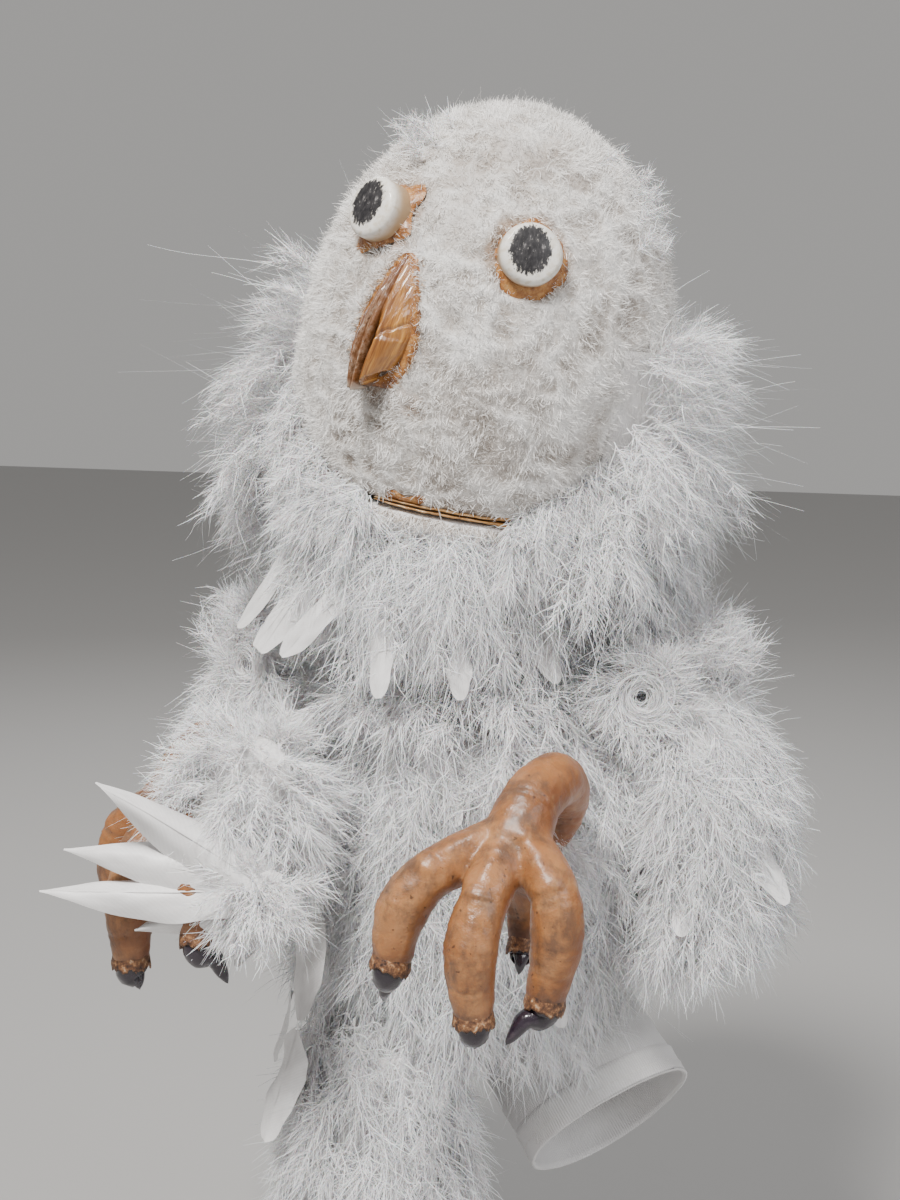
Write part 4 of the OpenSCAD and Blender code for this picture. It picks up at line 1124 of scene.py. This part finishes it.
def make_jaw():
    a = np.radians(np.linspace(-88, 88, 110))
    p = np.stack([chin_ring(a, wide, deep, z) for z, wide, deep in CHIN])
    p[2:8] += unit(p[2:8] * [1, 1, 0]) * (1.6 * fractal(p[2:8] * [1, 1, 0.5], 9, 12))[..., None]
    chin = surface("chin_fleece", at_head(p), "core", "jaw", slot="fleece", replaces=["chin_cover", "beard_boa"])
    pad = stuffed("chin_stuffing", "chin_pad", "jaw")
    n = 400
    a = np.radians(uniform(-88, 88, n))
    t = rng.random(n)
    shrink = 1 - 0.2 * t**2
    root = chin_ring(a, 78 * shrink, 84 * shrink, -104.5 - 17 * t)
    way = combed(a, (0.05, 0.4), 0.3)
    front = (np.abs(a) < 0.85) & (t < 0.3)
    long = np.where(front, uniform(34, 50, n), uniform(44, 66, n))
    plumes("beard_down", "jaw", *on_head(root, way, outward(a)), long, (10, 16), 37, wild=0.75)
    root, way, out = root[:150], way[:150], outward(a[:150])
    strays("beard_filaments", "jaw", *on_head(root, way + out * 0.5, out), (40, 66))
    n = 130
    a = np.radians(np.concatenate([uniform(-80, -9, n // 2), uniform(45, 80, n // 2)]))
    root = chin_ring(a, 78, 84, uniform(-112, -105, n))
    plumes("jaw_fluff", "jaw", *on_head(root, combed(a, 0.7, 0.6, 0.5), outward(a)), (12, 20), (7, 11), 26, sag=0.8,
           wild=0.9)
    n = 420
    a = np.radians(uniform(-6, 44, n))
    root = chin_ring(a, 79, 84.5, uniform(-105.5, -103.5, n))
    way = unit(combed(a, (0.3, 1.0), 0.7, -0.8))
    fine_hairs("lip_bristles", "jaw", root, way, uniform(3, 11, n), 0.25, (0.16, 0.15, 0.13, 0.09, 0.03),
               lambda n: gauss(0, 0.6, n), outward(a), "pile", "down")


def wing_point(s, a, grow=0.0):
    """The left wing's outline at share s of its length; a is 0 at the front and 90 degrees outward."""
    full = 0.45 + 0.55 * np.sin(np.radians(np.minimum(90, 25 + 160 * s))) - 0.35 * s**5
    full = full * np.interp(s, [0, 0.06, 0.94, 1], [0.6, 1, 1, 0.6])
    w, d = 37 * full, 46 * full
    return xyz(10.6 + w + (w + grow) * np.sin(a), 3 - (d + grow) * np.cos(a), 244 - 138 * s)


# Flat feathers of a wing: share of its length, angle round it, spin, length and width.
WING_QUILLS = ((0.44, 1.9, 0.5, 50, 15), (0.5, 0.95, 0.35, 50, 14), (0.6, 1.45, 0.6, 46, 14),
               (0.68, 0.35, -0.35, 44, 12), (0.76, 1.0, 0.15, 42, 12), (0.8, 1.8, 0.5, 42, 12),
               (0.5, 2.5, -0.2, 50, 15), (0.66, 3.0, 0.3, 46, 14))


def make_wing(side):
    flip, body = side == "right", f"wing_{side}"
    m = np.array([-1, 1, 1]) if flip else np.ones(3)

    def downy(name, root, way, normal, length, spread, **more):
        plumes(f"wing_{name}_{side}", body, mirrored(root, flip), way * m, normal * m, length, spread, **more)

    rings = mirrored(wing_point(np.linspace(0, 1, 30)[:, None], around(90), -6), flip)
    core(f"wing_core_{side}", rings, body, [f"wing_boa_{side}"], (0.6, 0.5), 21)
    n = 560
    t = rng.random(n) ** 0.9
    b = np.where(rng.random(n) < 0.6, uniform(-0.35, np.pi + 0.35, n), uniform(0, TURN, n))
    root = wing_point(t * 0.96, b, -5)
    way = combed(b, (0.1, 0.6), gauss(0, 0.36, (n, 1)), -0.85) + [0.1, 0, 0]
    long = np.minimum(uniform(24, 44, n), 18 + 110 * (1 - t)) * np.where(np.sin(b) > 0.5, 0.86, 1)
    downy("down", root, way, outward(b), long, (9, 14), wild=0.85)
    strays(f"wing_filaments_{side}", body, mirrored(root[:130], flip), way[:130] * m, outward(b[:130]) * m,
           long[:130] * 1.25)
    n = 190
    b = uniform(0, TURN, n)
    root = wing_point(uniform(0, 0.14, n), b, -uniform(6, 26, n))
    way = combed(b, (0.1, 0.5), 0.3, 1.0) + [-0.15, -0.05, 0]
    downy("top", root, way, outward(b), (34, 52), (10, 15), sag=0.5, wild=0.9)
    feather_fan(f"wing_quills_{side}", body, [
        feather(wing_point(t, b, -3), b, 0.85, 0.22, spin, long * (0.9 if t < 0.6 else 0.72), wide, 0.1, (-0.05, 0.14))
        for t, b, spin, long, wide in WING_QUILLS], flip)
    n = 130
    c = uniform(-0.6, np.pi + 0.6, n)
    edge = np.where(rng.random(n) < 0.75, -1.0, 1.0)
    root = xyz(8, 2 + edge * 33 * np.abs(np.cos(c - np.pi / 2)) ** 0.7, 175 + 52 * np.cos(c))
    way = xyz(uniform(-0.15, 0.5, n), edge * uniform(0.3, 0.8, n), uniform(-1, -0.4, n))
    downy("seam", root, way, xyz(0.4, edge, 0.2), (24, 38), (9, 13), wild=0.8)
    cloth(f"wing_cloth_{side}", f"wing_panel_{side}", body, "jersey", 6.0, 0.5, 20, (0.072, 0.114))

    # The curled end of the wing's boa: a tight swirl of fine barbs.
    centre, tilt = np.array([28.0, -41.0, 236.0]), math.radians(20)
    e1, e3 = sidewards(tilt), outward(tilt)

    def wheel(b):
        return np.cos(b)[..., None] * e1 + np.sin(b)[..., None] * UP

    u = np.linspace(0, 1, 60)[:-1:3] * TURN
    k = np.append(np.arange(72), 0)[:, None]
    r = 1.5 * (1 + 0.4 * noise(xyz(k / 5, 0, 0)))
    p = centre + (8 + r * np.cos(u))[..., None] * wheel(TURN * k / 72) + (r * np.sin(u))[..., None] * e3
    surface(f"wing_curl_{side}", mirrored(p, flip), "core", body, True, slot="down", replaces=[f"wing_loop_{side}"])
    n, steps = 110, 22
    start, turns = uniform(0, TURN, n), uniform(0.5, 1.3, n)
    u = np.linspace(0, 1, steps)
    angle = start[:, None] + turns[:, None] * TURN * u
    r = 8 + gauss(0, 2.0, (n, 1)) + (np.abs(gauss(0, 5.0, (n, 1))) - 1.5) * u**2
    h = gauss(0.6, 2.0, (n, 1)) + gauss(0, 5.0, (n, 1)) * u**2
    off = gauss(0, 1.3, (n, 1, 2))
    lines = centre + r[..., None] * wheel(angle) + off[..., :1] * e1 + off[..., 1:] * UP + h[..., None] * e3
    v, f, uv = strips(lines, np.full((n, steps), 0.16), np.broadcast_to(e3, (n, 3)), gauss(0, 0.5, n))
    piece(f"wing_curl_barbs_{side}", mirrored(v, flip), f, "down", body, uv, "down")
    n = 46
    b = uniform(0, TURN, n)
    root = centre + 10 * wheel(b) + uniform(-2, 2, (n, 1)) * e3
    way = wheel(b + np.pi / 2) + wheel(b) * uniform(0.1, 0.8, (n, 1)) + e3 * uniform(0, 0.4, (n, 1))
    downy("curl_down", root, way, np.broadcast_to(e3, (n, 3)), (14, 26), (6, 10), wild=0.9)


# Flat feathers of the tail: place from its strap, angle round it, spin, length and width.
TAIL_QUILLS = (((-52, -10, -8), -1.2, -0.45, 68, 22), ((-30, -44, -14), -0.5, -0.15, 60, 24),
               ((-26, -34, -62), -0.6, -0.2, 58, 18), ((20, -34, -50), 0.5, 0.2, 56, 17),
               ((-32, -16, -80), -1.1, -0.35, 52, 16), ((4, -40, -88), 0.1, -0.1, 50, 16),
               ((26, -20, -84), 0.9, 0.25, 46, 15), ((30, 8, -40), 1.7, 0.3, 56, 16),
               ((-2, 34, -50), 3.1, 0.1, 58, 18), ((-34, 16, -54), 4.2, -0.2, 56, 17))


def tail_ring(s, phi, grow):
    r = 46 * (0.62 + 0.38 * np.sin(np.radians(np.minimum(90, 12 + 130 * s))) - 0.42 * s**3.5) + grow
    return xyz(TAIL[0] + 2 * s + r * np.sin(phi), TAIL[1] + 3 - 6 * s - r * np.cos(phi), 79 - 172 * s)


def make_tail():
    for k, (name, low, high) in enumerate((("upper", 0.13, 0.4), ("middle", 0.4, 0.67), ("lower", 0.67, 0.93))):
        rings = tail_ring(np.linspace(low, high, 18)[:, None], around(90), -8)
        core(f"tail_{name}_core", rings, "tail", [f"tail_boa_{name}"], (0.6, 0.5), 31 + k)
    stuffed("tail_stuffing", "tail_core", "tail")
    n = 520
    s, b = uniform(0.0, 0.9, n), uniform(0, TURN, n)
    way = combed(b, uniform(0.05, 0.5, (n, 1)) * (1.1 - 0.5 * s[:, None]), 0.26, -0.9)
    long = np.minimum(uniform(34, 52, n), 172 - 172 * s)
    plumes("tail_down", "tail", tail_ring(s, b, -9), way, outward(b), long, (10, 16), wild=0.6)
    feather_fan("tail_flat_feathers", "tail", [
        feather(TAIL + np.array(off) * [0.86, 0.86, 1], b, 1, 0.22, spin * 1.4, long * 0.94, wide * 0.9, 0.1)
        for off, b, spin, long, wide in TAIL_QUILLS], replaces=["tail_quills"])
    n = 150
    s, b = uniform(0.0, 0.62, n), uniform(-1.9, 1.9, n)
    plumes("tail_over_down", "tail", tail_ring(s, b, 0), combed(b, (0.2, 0.55), 0.35, -0.9), outward(b), (26, 40),
           (10, 14), wild=0.85)


# Flat feathers of the body: height, angle, spin, length, width and how far out they start.
CHEST_QUILLS = ((224, -0.45, -0.5, 62, 22, 25), (220, -1.0, -0.5, 62, 24, 21), (216, 0.1, 0.6, 50, 15, 0),
                (196, -0.76, -0.35, 62, 26, 21), (186, -0.28, -0.35, 58, 20, 22), (152, -0.72, 0.25, 62, 28, 20),
                (140, -1.02, -0.25, 62, 27, 18), (130, -0.42, 0.3, 56, 22, 20), (176, -1.35, -0.35, 56, 24, 7),
                (150, 0.75, 0.3, 46, 15, 2), (118, 0.95, -0.15, 46, 15, 2), (170, 2.4, 0.1, 54, 18, 5),
                (150, 3.4, -0.2, 56, 18, 5), (196, 2.9, 0.1, 54, 18, 5), (124, 2.7, 0.2, 52, 17, 5),
                (130, 3.9, 0.0, 52, 17, 5))


def make_chest_feathers():
    feather_fan("chest_flat_feathers", "body", [
        feather(body_ring(z, phi, out), phi, 1, 0.2 + 0.012 * out, spin, long, wide, 0.08)
        for z, phi, spin, long, wide, out in CHEST_QUILLS], replaces=["chest_quills"])
    n = 330
    a = uniform(-1.6, 1.6, n)
    root = body_ring(uniform(104, 226, n), a, 1)
    plumes("chest_over_down", "body", root, combed(a, (0.25, 0.6), 0.45), outward(a), (24, 40), (10, 15), wild=0.9)
    n = 80
    a = np.concatenate([uniform(0.55, 1.35, n // 2), uniform(-1.35, -0.6, n // 2)])
    way = combed(a, (0.5, 0.9), 0.4, -0.7)
    root = body_ring(uniform(204, 228, n), a, uniform(0, 12, n))
    plumes("leg_top_down", "body", root, way, outward(a), (26, 42), (10, 14), wild=0.9)


# Flat feathers that lie over the beard's down: turn, height, spin, length, width and how far out they start.
BEARD_QUILLS = ((-9, -143, -0.55, 50, 13, 10), (4, -151, 0.35, 42, 13, 11), (-27, -141, -0.3, 52, 16, 9),
                (-47, -138, -0.5, 54, 18, 9), (-36, -152, -0.2, 40, 14, 10), (-66, -134, -0.3, 50, 17, 6),
                (31, -151, 0.2, 36, 12, 9), (56, -136, 0.35, 44, 14, 6))


def make_beard_feathers():
    entries = []
    for turn, z, spin, long, wide, out in BEARD_QUILLS:
        a = math.radians(turn)
        root, way, face, *rest = feather(chin_ring(a, 70 + out, 77 + out, z), a, 1, 0.3, spin, long, wide, 0.1,
                                         (-0.08, 0.12))
        entries.append((*on_head(root, way, face), *rest))
    feather_fan("beard_flat_feathers", "jaw", entries)


def make_tuft():
    """The burst of down and long curved feathers on the right leg."""
    a = around(60)
    e = np.radians(np.linspace(-72, 72, 22))[:, None]
    rings = TUFT + xyz(30 * np.cos(e) * np.sin(a), -28 * np.cos(e) * np.cos(a), 34 * np.sin(e))
    core("tuft_core", rings, "leg_right", ["leg_tuft_right"], (0.5, 0.5), 41, 3.5)
    n = 330
    d = unit(gauss(0, 1, (n, 3)))
    way = d + DOWN * 0.45 + [-0.2, -0.1, 0] + gauss(0, 0.15, (n, 3))
    plumes("tuft_down", "leg_right", TUFT + d * [24, 22, 28], way, d + [0, -0.3, 0.3], (20, 34), (8, 14), wild=0.9)
    root = np.array([-110.0, -164.0, 158.0])
    parts = []
    for turn, dip, length, roll in ((201, 8, 114, 0.25), (199, -17, 104, -0.2), (196, -38, 98, 0.3),
                                    (206, 24, 74, -0.3)):
        t, p = math.radians(turn), math.radians(dip)
        way = sidewards(t) * math.cos(p) + DOWN * math.sin(p)
        vane = flat_feather(length, 27, -0.1 if dip > 0 else 0.12, 0.2, -0.06 + roll * 0.3, 34, 17, True)
        parts += placed(vane, root - way * 8, way, (0.2, -1.0, 0.55 + roll))
    v, f, uv = merged(parts)
    piece("tuft_feathers", v, f, "vane", "leg_right", uv, "quill_feather", ["leg_quills_right"])
    n = 70
    d = unit(xyz(gauss(0, 0.8, n), gauss(-0.5, 0.4, n), gauss(-0.5, 0.6, n)))
    plumes("tuft_root_down", "leg_right", root + d * 3 + [-6, 2, 0], d, np.broadcast_to([0, -1.0, 0.3], (n, 3)),
           (16, 30), (7, 12), 26, wild=1.0)


# ---- feet ----

# The shank's middle line and its radii, the toes' middle lines and radii, and the points of the claws.
SHANK = ([(0, 0, 0), (13, -12, 24), (15, -32, 38), (11, -52, 32), (9, -64, 18)], [9, 11, 13, 14, 16])
TOES = {"inner": [(0, -68, 15), (-21, -86, 5), (-33, -94, -11), (-37, -96, -32)],
        "middle": [(7, -70, 14), (5, -92, -3), (3, -102, -24), (4, -101, -50)],
        "outer": [(15, -67, 14), (31, -77, 1), (34, -79, -20), (29, -78, -46)],
        "hind": [(10, -58, 10), (7, -42, -8), (3, -36, -24), (3, -40, -36)]}
TOE_R = np.array([13, 12, 12.5, 9])
TIPS = {"inner": (-46, -87, -57), "middle": (3, -97, -68), "outer": (15, -89, -67), "hind": (4, -48, -50)}
TOE_SIZE = {"inner": 1.0, "middle": 1.0, "outer": 1.0, "hind": 0.8}
# Tendons on the foot's back, each from one point to another.
TENDONS = (((8, -78, 28), (6, -104, 6)), ((2, -74, 28), (-22, -96, 12)), ((15, -72, 28), (32, -88, 8)))


def foot_place(p, side):
    p = np.asarray(p, float)
    if side == "left":
        return p + LEG_LEFT
    c, s = math.cos(math.radians(14)), math.sin(math.radians(14))
    turned = xyz(p[..., 0] * c - p[..., 1] * s, p[..., 0] * s + p[..., 1] * c, p[..., 2])
    return mirrored(turned + [-3, -65, 166], True)


def make_leg_roots():
    """Down round the place where each shank comes out of the body."""
    for side, phi in (("left", 0.84), ("right", -0.86)):
        n = 50
        a = phi + gauss(0, 0.12, n)
        root = foot_place([0, 0, 0], side) + sidewards(a) * gauss(0, 9, (n, 1)) + DOWN * gauss(0, 10, (n, 1))
        way = combed(a, (0.5, 1.0), 0.45, 0.0) + DOWN * gauss(0.3, 0.5, (n, 1))
        plumes(f"leg_root_down_{side}", "body", root - outward(a) * 9, way, UP + outward(a) * 0.5, (20, 34), (8, 12),
               wild=0.9)


def remeshed(places, radii):
    """One smooth skin over many round lumps: its vertices, normals and faces."""
    bm = bmesh.new()
    bmesh.ops.create_icosphere(bm, subdivisions=3, radius=1)
    v = np.array([x.co for x in bm.verts])
    f = np.array([[x.index for x in face.verts] for face in bm.faces])
    bm.free()
    verts = np.asarray(places)[:, None] + v * np.asarray(radii)[:, None, None]
    faces = f + (np.arange(len(places)) * len(v))[:, None, None]
    me = bpy.data.meshes.new("lumps")
    me.from_pydata((verts.reshape(-1, 3) * MM).tolist(), [], faces.reshape(-1, 3).tolist())
    ob = bpy.data.objects.new("lumps", me)
    bpy.context.collection.objects.link(ob)
    remesh = ob.modifiers.new("remesh", "REMESH")
    remesh.mode, remesh.voxel_size = "VOXEL", 1.25 * MM
    even = ob.modifiers.new("smooth", "SMOOTH")
    even.factor, even.iterations = 0.5, 7
    verts = baked(ob) / MM
    normals = np.array([v.normal for v in ob.data.vertices])
    faces = [list(f.vertices) for f in ob.data.polygons]
    bpy.data.objects.remove(ob)
    return verts, normals, faces


def make_foot(side):
    """A cast latex foot with folds on the toes, tendons, and rings round the left shank."""
    places, radii = [], []

    def limb(points, r, n):
        places.extend(curve(points, n))
        radii.extend(np.interp(np.linspace(0, len(r) - 1, n), range(len(r)), r))

    limb(*SHANK, 34)
    for name, points in TOES.items():
        limb(points, TOE_R * TOE_SIZE[name] * [0.96, 0.93, 0.97, 0.98], 30)
        for at, grow in ((10, 0.75), (19, 0.74)):
            places.append(curve(points, 30)[at] + [0, -3.0, 2.5])
            radii.append(TOE_R[1] * TOE_SIZE[name] * grow)
    v, n, faces = remeshed(places, radii)
    bump = 0.35 * noise(v, 5.5, 51) + 0.2 * noise(v, 2.2, 53)
    for points in (SHANK[0], *TOES.values()):
        q = curve(points, 60)
        along = lengths_along(q)
        i = np.argmin(((v[:, None] - q[None, ::3]) ** 2).sum(-1), 1) * 3
        off, way = v - q[i], np.gradient(q, axis=0)[i]
        near = smooth(22 - np.linalg.norm(off, axis=1), 0, 6)
        s = along[i] + (off * way).sum(1) / np.maximum(np.linalg.norm(way, axis=1), 1e-6)
        top = smooth(-off[:, 1] + 0.5 * off[:, 2], -3, 8)
        for place, more in ((0.36, 0), (0.36, 3.4), (0.66, 0), (0.66, 3.0), (0.84, 0)):
            fold = np.exp(-((s - along[-1] * place - more + 1.2 * noise(v, 6, 60)) / 0.8) ** 2)
            bump = bump - 0.42 * fold * near * top
    if side == "left":
        for k, c in enumerate((4, 9, 13, 18, 24, 30)):
            bump -= 0.5 * np.exp(-((np.linalg.norm(v, axis=1) - c + 1.5 * noise(v, 8, 70 + k)) / 0.8) ** 2)
    for start, end in TENDONS:
        way, off = unit(np.subtract(end, start)), v - start
        s = off @ way
        d = np.linalg.norm(off - s[:, None] * way, axis=1)
        bump = bump + 1.3 * np.exp(-(d**2) / 16) * smooth(s, 0, 8) * (1 - smooth(s, 22, 30))
    v = v + n * bump[:, None]
    ob = piece(f"foot_skin_{side}", foot_place(v, side), faces, "latex", f"leg_{side}", slot="latex",
               replaces=[f"foot_{side}"])
    toe_end = np.min([np.linalg.norm(v - points[-1], axis=1) for points in TOES.values()], axis=0)
    # First part: how far each face looks up and forward; the latex uses it for painted shade below and for the smudges
    # on top.
    attribute(ob, "grow", xyz(smooth(-n[:, 1] + 0.5 * n[:, 2], -0.2, 1.0), 0, toe_end))
    make_claws(side)


def make_claws(side):
    """The claws, and the ragged rims of latex that hold them."""
    claws, rims = [], []
    for name, points in TOES.items():
        k = TOE_SIZE[name]
        bend, tip = np.array(points[-1], float), np.array(TIPS[name], float)
        lead = unit(bend - points[-2])
        way = curve([bend + lead * 3, bend + lead * 10 * k, bend * 0.45 + tip * 0.55, tip], 34)
        r = np.interp(np.linspace(0, 1, 34), [0, 0.25, 0.6, 0.85, 1.0], [8.3, 7.7, 5.4, 3.2, 1.1]) * k
        t = unit(np.gradient(way, axis=0))
        e1 = unit(np.cross(t, [0.3, 1.0, 0.2]))[:, None]
        e2 = np.cross(e1, t[:, None])
        c, s = np.cos(around(28))[:, None], np.sin(around(28))[:, None]
        mid = way[:, None]
        ring = mid + r[:, None, None] * (e1 * c * 0.93 + e2 * s)
        ring = ring + unit(ring - mid) * (0.4 * noise(ring, 4, 81) + 0.2 * noise(ring, 1.6, 82))[..., None]
        point = mid[-1:] + (ring[-1:] - mid[-1:]) * 0.05 + t[-1] * r[-1]
        claws.append(np.concatenate([mid[:1] + (ring[:1] - mid[:1]) * 0.1, ring, point]))
        e1 = unit(np.cross(lead, [0.2, 1, 0.1]))
        e2 = np.cross(lead, e1)
        phi = around(90)
        c, s = np.cos(phi), np.sin(phi)
        ragged = 1.9 * noise(xyz(c, s, len(name)) * 5, 1, 3) + 1.0 * noise(xyz(c, s, 0) * 14, 1, 4)
        rims.append(np.stack([
            bend + (h + ragged * (h > 4))[:, None] * lead + r * k * (c[:, None] * e1 + s[:, None] * e2)
            for h, r in ((-2, 8.4), (2.5, 9.1), (5.2, 9.5), (6.4, 9.3), (6.0, 8.5), (3, 8.0))]))
    for name, grids, material, slot, nodes in (("claw_set", claws, "claw", "claw_paint", [f"claws_{side}"]),
                                               ("claw_rims", rims, "rim", "latex", [])):
        v, f, _ = merged([(p.reshape(-1, 3), grid_faces(*p.shape[:2], True), np.zeros((0, 2))) for p in grids])
        piece(f"{name}_{side}", foot_place(v, side), f, material, f"leg_{side}", slot=slot, replaces=nodes)


# ---- sleeve ----

SLEEVE = [(0, 0, 0), (-26, 13, 27), (-52, 25, 54), (-70, 26, 87), (-80, 21, 122), (-85, 15, 155), (-87, 10, 185)]
SLEEVE_R = 46.0
CUFF_OUT = unit(np.array([0.667, -0.333, -0.667]))


def sleeve_surface(n, cols, grow, low=0.0, high=1.0):
    """Rings of the sleeve between two shares of its length, with soft folds."""
    q = curve(SLEEVE, 240)
    t = unit(np.gradient(q, axis=0))
    t[0] = -CUFF_OUT
    e1 = [unit(np.cross([0, 1, 0], t[0]))]
    for way in t[1:]:
        e1.append(unit(e1[-1] - way * np.dot(e1[-1], way)))
    i = np.clip((np.linspace(low, high, n) * 239).astype(int), 0, 239)
    e1 = np.array(e1)[i][:, None]
    e2 = np.cross(t[i][:, None], e1)
    phi = around(cols)
    out = np.cos(phi)[:, None] * e1 + np.sin(phi)[:, None] * e2
    p = q[i][:, None] + SLEEVE_R * out
    along = lengths_along(q)[i][:, None]
    fold = 1.5 * np.sin(phi * 3 + 0.8 + along * 0.015) * np.exp(-along / 45)
    fold = fold + 1.3 * fractal(p * [0.7, 0.7, 1.3], 20, 91)
    ripple = np.sin(along / 5.5 + 1.5 * np.sin(phi * 2)) * smooth(along, 30, 60)
    fold = fold + ripple * smooth(-np.cos(phi - 0.6), -0.2, 1)
    return p + out * (np.clip(fold, -2.6, 2.6) + grow)[..., None]


def make_sleeve():
    cols = 150
    p = np.concatenate([sleeve_surface(80, cols, 0.0), sleeve_surface(80, cols, -1.1)[::-1]])
    uv = grid_uv(len(p) + 1, cols, True)
    ob = piece("sleeve_jersey", p, grid_faces(len(p), cols, True, True), "jersey", "body", uv, "jersey",
               ["body_sleeve"])
    hem_end = 0.083
    outer = sleeve_surface(12, cols, 1.0, 0, hem_end)
    outer[-1] = sleeve_surface(1, cols, 0.1, hem_end)[0]
    bead = sleeve_surface(1, cols, -0.6)[0]
    p = np.concatenate([outer[::-1], [outer[0] + CUFF_OUT * 0.5, bead + CUFF_OUT * 0.8, bead]])
    hem = surface("cuff_hem_cloth", p, "jersey_hem", "body", True, uv=grid_uv(len(p), cols, True, 0.1), slot="jersey",
                  replaces=["cuff_hem"])
    ring = sleeve_surface(1, 960, 1.25, 0.04)[0]
    lines = np.stack([ring[k:k + 7:2] for k in range(0, 945, 9)])
    normal = unit(lines.mean(1) - ring.mean(0))
    lines = lines + normal[:, None] * np.array([-0.25, 0.1, 0.1, -0.25])[None, :, None]
    v, f, uv = strips(lines, np.full(lines.shape[:2], 0.22), normal, np.zeros(len(lines)))
    thread = piece("cuff_stitches", v, f, "thread", "body", uv, "jersey")


# ---- other CAD parts ----


def make_rest():
    dress("board", "head_shell", "palate_board", "jaw_board", "head_base")
    dress("steel", "foot_wire_left", "foot_wire_right")
    rod = cloth("mouth_hinge_cloth", "mouth_hinge", "head", "jersey", 4, 0.12, 6)
    for name, body, flat in (("finger_pocket", "head", (0.204, 0.078)), ("thumb_pocket", "jaw", (0.1, 0.062))):
        cloth(f"{name}_cloth", name, body, "pocket_cloth", 5, 0.25, 14, flat)
    for side in ("left", "right"):
        cloth(f"leg_tab_cloth_{side}", f"leg_tab_{side}", "body", "jersey", 3, 0.3, 9, (0.018, 0.018))
    cloth("tail_tab_cloth", "tail_tab", "body", "jersey", 3, 0.3, 9)


# ---- stage ----


def lamp(name, place, target, size, power, colour=(1, 1, 1)):
    data = bpy.data.lights.new(name, "AREA")
    data.shape = "DISK"
    data.size, data.energy, data.color = size, power, colour
    ob = bpy.data.objects.new(name, data)
    ob.location = place
    ob.rotation_mode = "QUATERNION"
    ob.rotation_quaternion = (Vector(target) - Vector(place)).to_track_quat("-Z", "Y")
    bpy.context.collection.objects.link(ob)


def make_stage():
    bpy.ops.mesh.primitive_plane_add(size=12, location=(0, 0, -0.16))
    floor = bpy.context.object
    floor.name = "floor"
    floor.data.materials.append(Paint("floor_paper", 0.8, (0.43, 0.425, 0.42)).m)
    world = bpy.data.worlds.new("studio")
    bpy.context.scene.world = world
    world.use_nodes = True
    sky = world.node_tree.nodes["Background"]
    sky.inputs["Color"].default_value = (0.8, 0.785, 0.765, 1)
    sky.inputs["Strength"].default_value = 0.48
    lamp("key", (-0.1, -1.2, 1.9), (-0.08, 0, 0.3), 0.5, 70, (1, 0.97, 0.93))
    lamp("side", (1.6, -0.5, 1.0), (-0.08, 0, 0.25), 0.9, 12, (0.98, 0.98, 1))
    lamp("back", (-1.0, 1.4, 1.4), (-0.08, 0, 0.3), 0.8, 12)


def make_camera():
    """The photograph's place and angle: 24 degrees to the puppet's left, looking 8 degrees down."""
    azimuth, elevation = math.radians(24), math.radians(8)
    back = Vector(outward(azimuth) * math.cos(elevation) + UP * math.sin(elevation))
    right = Vector(sidewards(azimuth))
    data = bpy.data.cameras.new("camera")
    data.sensor_width, data.lens, data.clip_start = 36, 55.2, 0.05
    ob = bpy.data.objects.new("camera", data)
    ob.location = (0.2969, -0.8715, 0.4045)
    ob.rotation_mode = "QUATERNION"
    ob.rotation_quaternion = Matrix((right, back.cross(right), back)).transposed().to_quaternion()
    bpy.context.collection.objects.link(ob)
    bpy.context.scene.camera = ob


cover = make_fleece()
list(make_pile())
make_loops()
for side in ("left", "right"):
    make_eye(side)
    make_eye_glue(side)
make_beak()
make_lips()
make_ruff()
make_neck()
make_jaw()
make_body()
make_chest_feathers()
for side in ("left", "right"):
    make_wing(side)
    make_foot(side)
make_tuft()
make_tail()
make_beard_feathers()
make_leg_roots()
make_sleeve()
make_rest()
make_stage()
make_camera()
